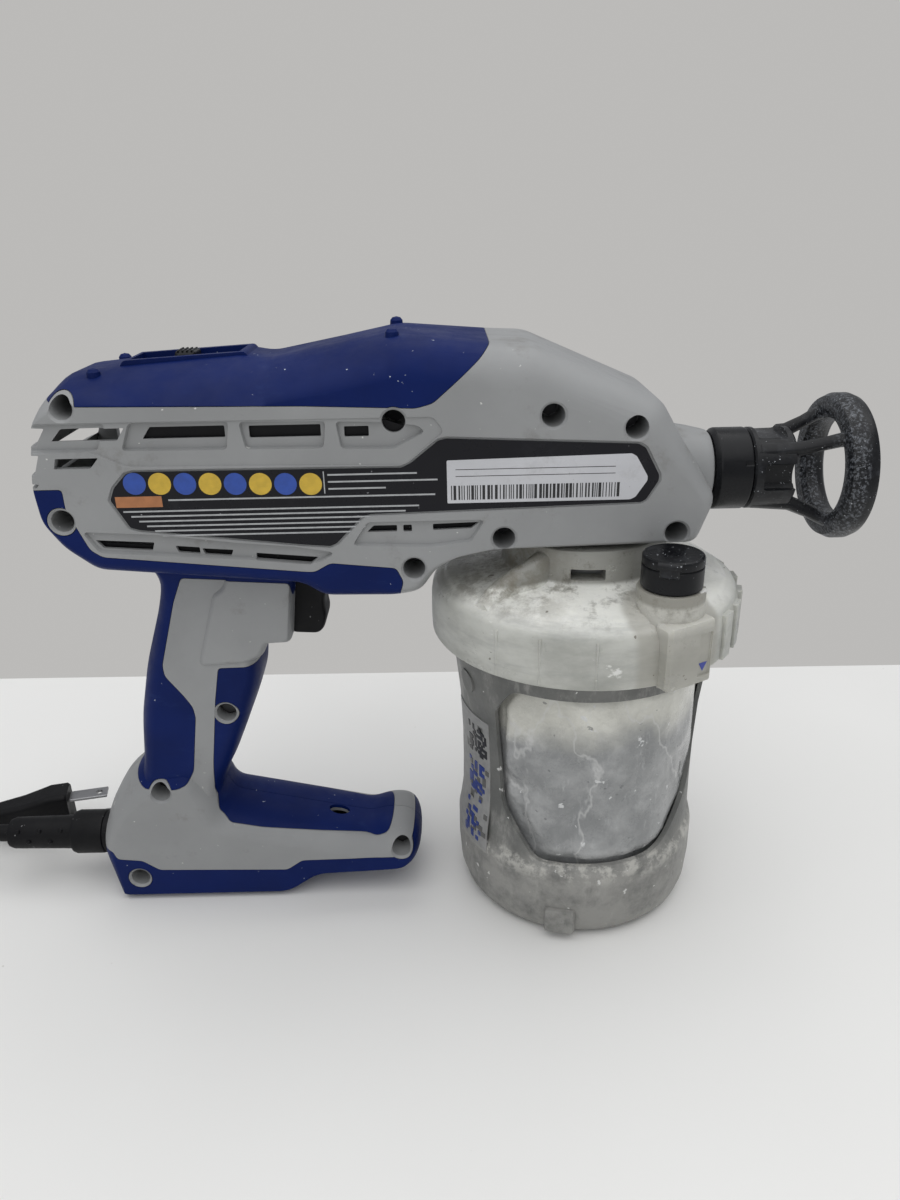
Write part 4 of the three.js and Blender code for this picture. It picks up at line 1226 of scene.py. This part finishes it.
def build_cap(looks):
    place = shift(*CAP_AT, CAP_Z) @ spin(CAP_TURN)
    profile = [(4.5, 0), (11, 0), (11.3, 0.5), (11.3, 8.1), (11, 8.5), (4.5, 8.5)]
    base = lathe("valve_cap_cup", profile, 72, place)
    gaps = ((-3.5, 3.5, -8.4, 6.5), (-5.2, -4.4, -10.4, 2.5), (4.4, 5.2, -10.4, 2.5))
    cut(base, [block("gap", x0, x1, -20, y, z, 20, place) for x0, x1, y, z in gaps])
    show(base, "cover", looks["black"], "valve_cap_base")
    lid = lathe("valve_cap_top", [
        (0, 8.8), (11.1, 8.8), (11.3, 9.1), (11.3, 11.4), (10.9, 12.1), (10.2, 12.4), (9.6, 12.1), (0, 12.1),
    ], 72, place)
    plug = lathe("cap_plug", [(0, 6.5), (3.8, 6.5), (3.9, 9.2), (0, 9.2)], 40, place)
    tab = block("cap_tab", -3.6, 3.6, -12.6, -8.8, 6.9, 11.8, place, 0.6)
    hinge = place @ shift(0, -11.4, 11.2) @ spin(90, "Y")
    pin = rod("hinge_pin", 1.5, -4.2, 4.2, hinge, 24)
    show(join(lid, [plug, tab, pin]), "cap_lid", looks["speckled"], "valve_cap_lid")


# ---- Mains lead ----
PLUG_AT = shift(-251, 32, 13) @ spin(12)


def build_lead(looks):
    sleeve = [
        (0, -207.5), (11.4, -207.5), (11.4, -210), (9.4, -210.4), (9.4, -219.6), (9.9, -220),
        (10.1, -221), (10.1, -233),
        (9.6, -234.4), (7.9, -235), (7.7, -240), (7.5, -252), (7.3, -263), (6.6, -265), (5.6, -265.5),
        (0, -265.5),
    ]
    relief = lathe("strain_relief_sleeve", sleeve, 56, along_x(CORD_Z))
    nubs = []
    for i in range(5):
        spot = shift(-239.5 - 5 * i, 0, CORD_Z) @ spin(50 + 40 * (i % 2), "X")
        nubs.append(lathe("nub", [(0, 6), (1.3, 6), (1.1, 7.9), (0.6, 8.4), (0, 8.5)], 16, spot))
    show(join(relief, nubs), "sprayer", looks["rubber"], "strain_relief")
    plug = plug_shape()
    show(plug, "sprayer", looks["rubber"], "plug_body")
    for node, z, half in (("plug_blade_wide", 6.35, 3.9), ("plug_blade_narrow", -6.35, 3.1)):
        blade = block(f"{node}_metal", 0.3, 18.5, -half, half, z - 0.75, z + 0.75, PLUG_AT, 0.3)
        cut(blade, [rod("blade_hole", 1.6, z - 4, z + 4, PLUG_AT @ shift(14.5, 0, 0), 24)])
        show(blade, "sprayer", looks["steel"], node)
    path = smooth_path(CORD_ROUTE)
    data = bpy.data.curves.new("mains_lead", "CURVE")
    data.dimensions = "3D"
    spline = data.splines.new("POLY")
    spline.points.add(len(path) - 1)
    for point, place in zip(spline.points, path):
        point.co = (*(place * MM), 1)
    data.bevel_depth = CORD_R * MM
    data.bevel_resolution = 6
    data.use_fill_caps = True
    cord = new_object("mains_lead", data)
    data.materials.append(looks["rubber"])
    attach(cord, "sprayer")
    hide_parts("power_cord")


def smooth_path(route, count=6):
    """A Catmull-Rom curve through the route's points."""
    points = [Vector(p) for p in route]
    points = [points[0] * 2 - points[1], *points, points[-1] * 2 - points[-2]]
    out = []
    for a, b, c, d in zip(points, points[1:], points[2:], points[3:]):
        for step in range(count):
            t = step / count
            out.append(0.5 * (2 * b + (c - a) * t + (2 * a - 5 * b + 4 * c - d) * t * t
                              + (3 * b - a - 3 * c + d) * t ** 3))
    out.append(points[-2])
    return out


def plug_shape():
    """A moulded two-blade plug, flared at its face and drawn in towards the cord."""
    sections = [
        (-35, 6.2, 5.6), (-33.5, 6.4, 6), (-22, 8, 6.8), (-14, 10, 7.3), (-9, 11.4, 7.5), (-1, 11.5, 7.5),
        (0, 10.9, 6.9),
    ]
    rings = []
    for x, tall, wide in sections:
        corners = soften([(-wide, -tall), (wide, -tall), (wide, tall), (-wide, tall)], 3.2, 5)
        rings.append([PLUG_AT @ Vector((x, y, z)) for y, z in corners])
    return loft("plug_moulding", rings)


bpy.context.scene.view_settings.view_transform = "Standard"
add_camera()
add_world()
add_light("key", (0.05, -0.05, 1.5), (-0.05, 0, 0.1), 2.2, 20)
add_light("fill", (-0.5, -1.3, 1.0), (-0.05, 0, 0.12), 1.2, 3.5)
add_floor()
looks = make_looks()
build_lead(looks)
build_casing(looks)
build_labels(looks)
build_controls(looks)
paint_inner_nodes(looks)
build_nozzle(looks)
build_cup(looks)
build_cover(looks)
build_cap(looks)
bpy.context.view_layer.update()
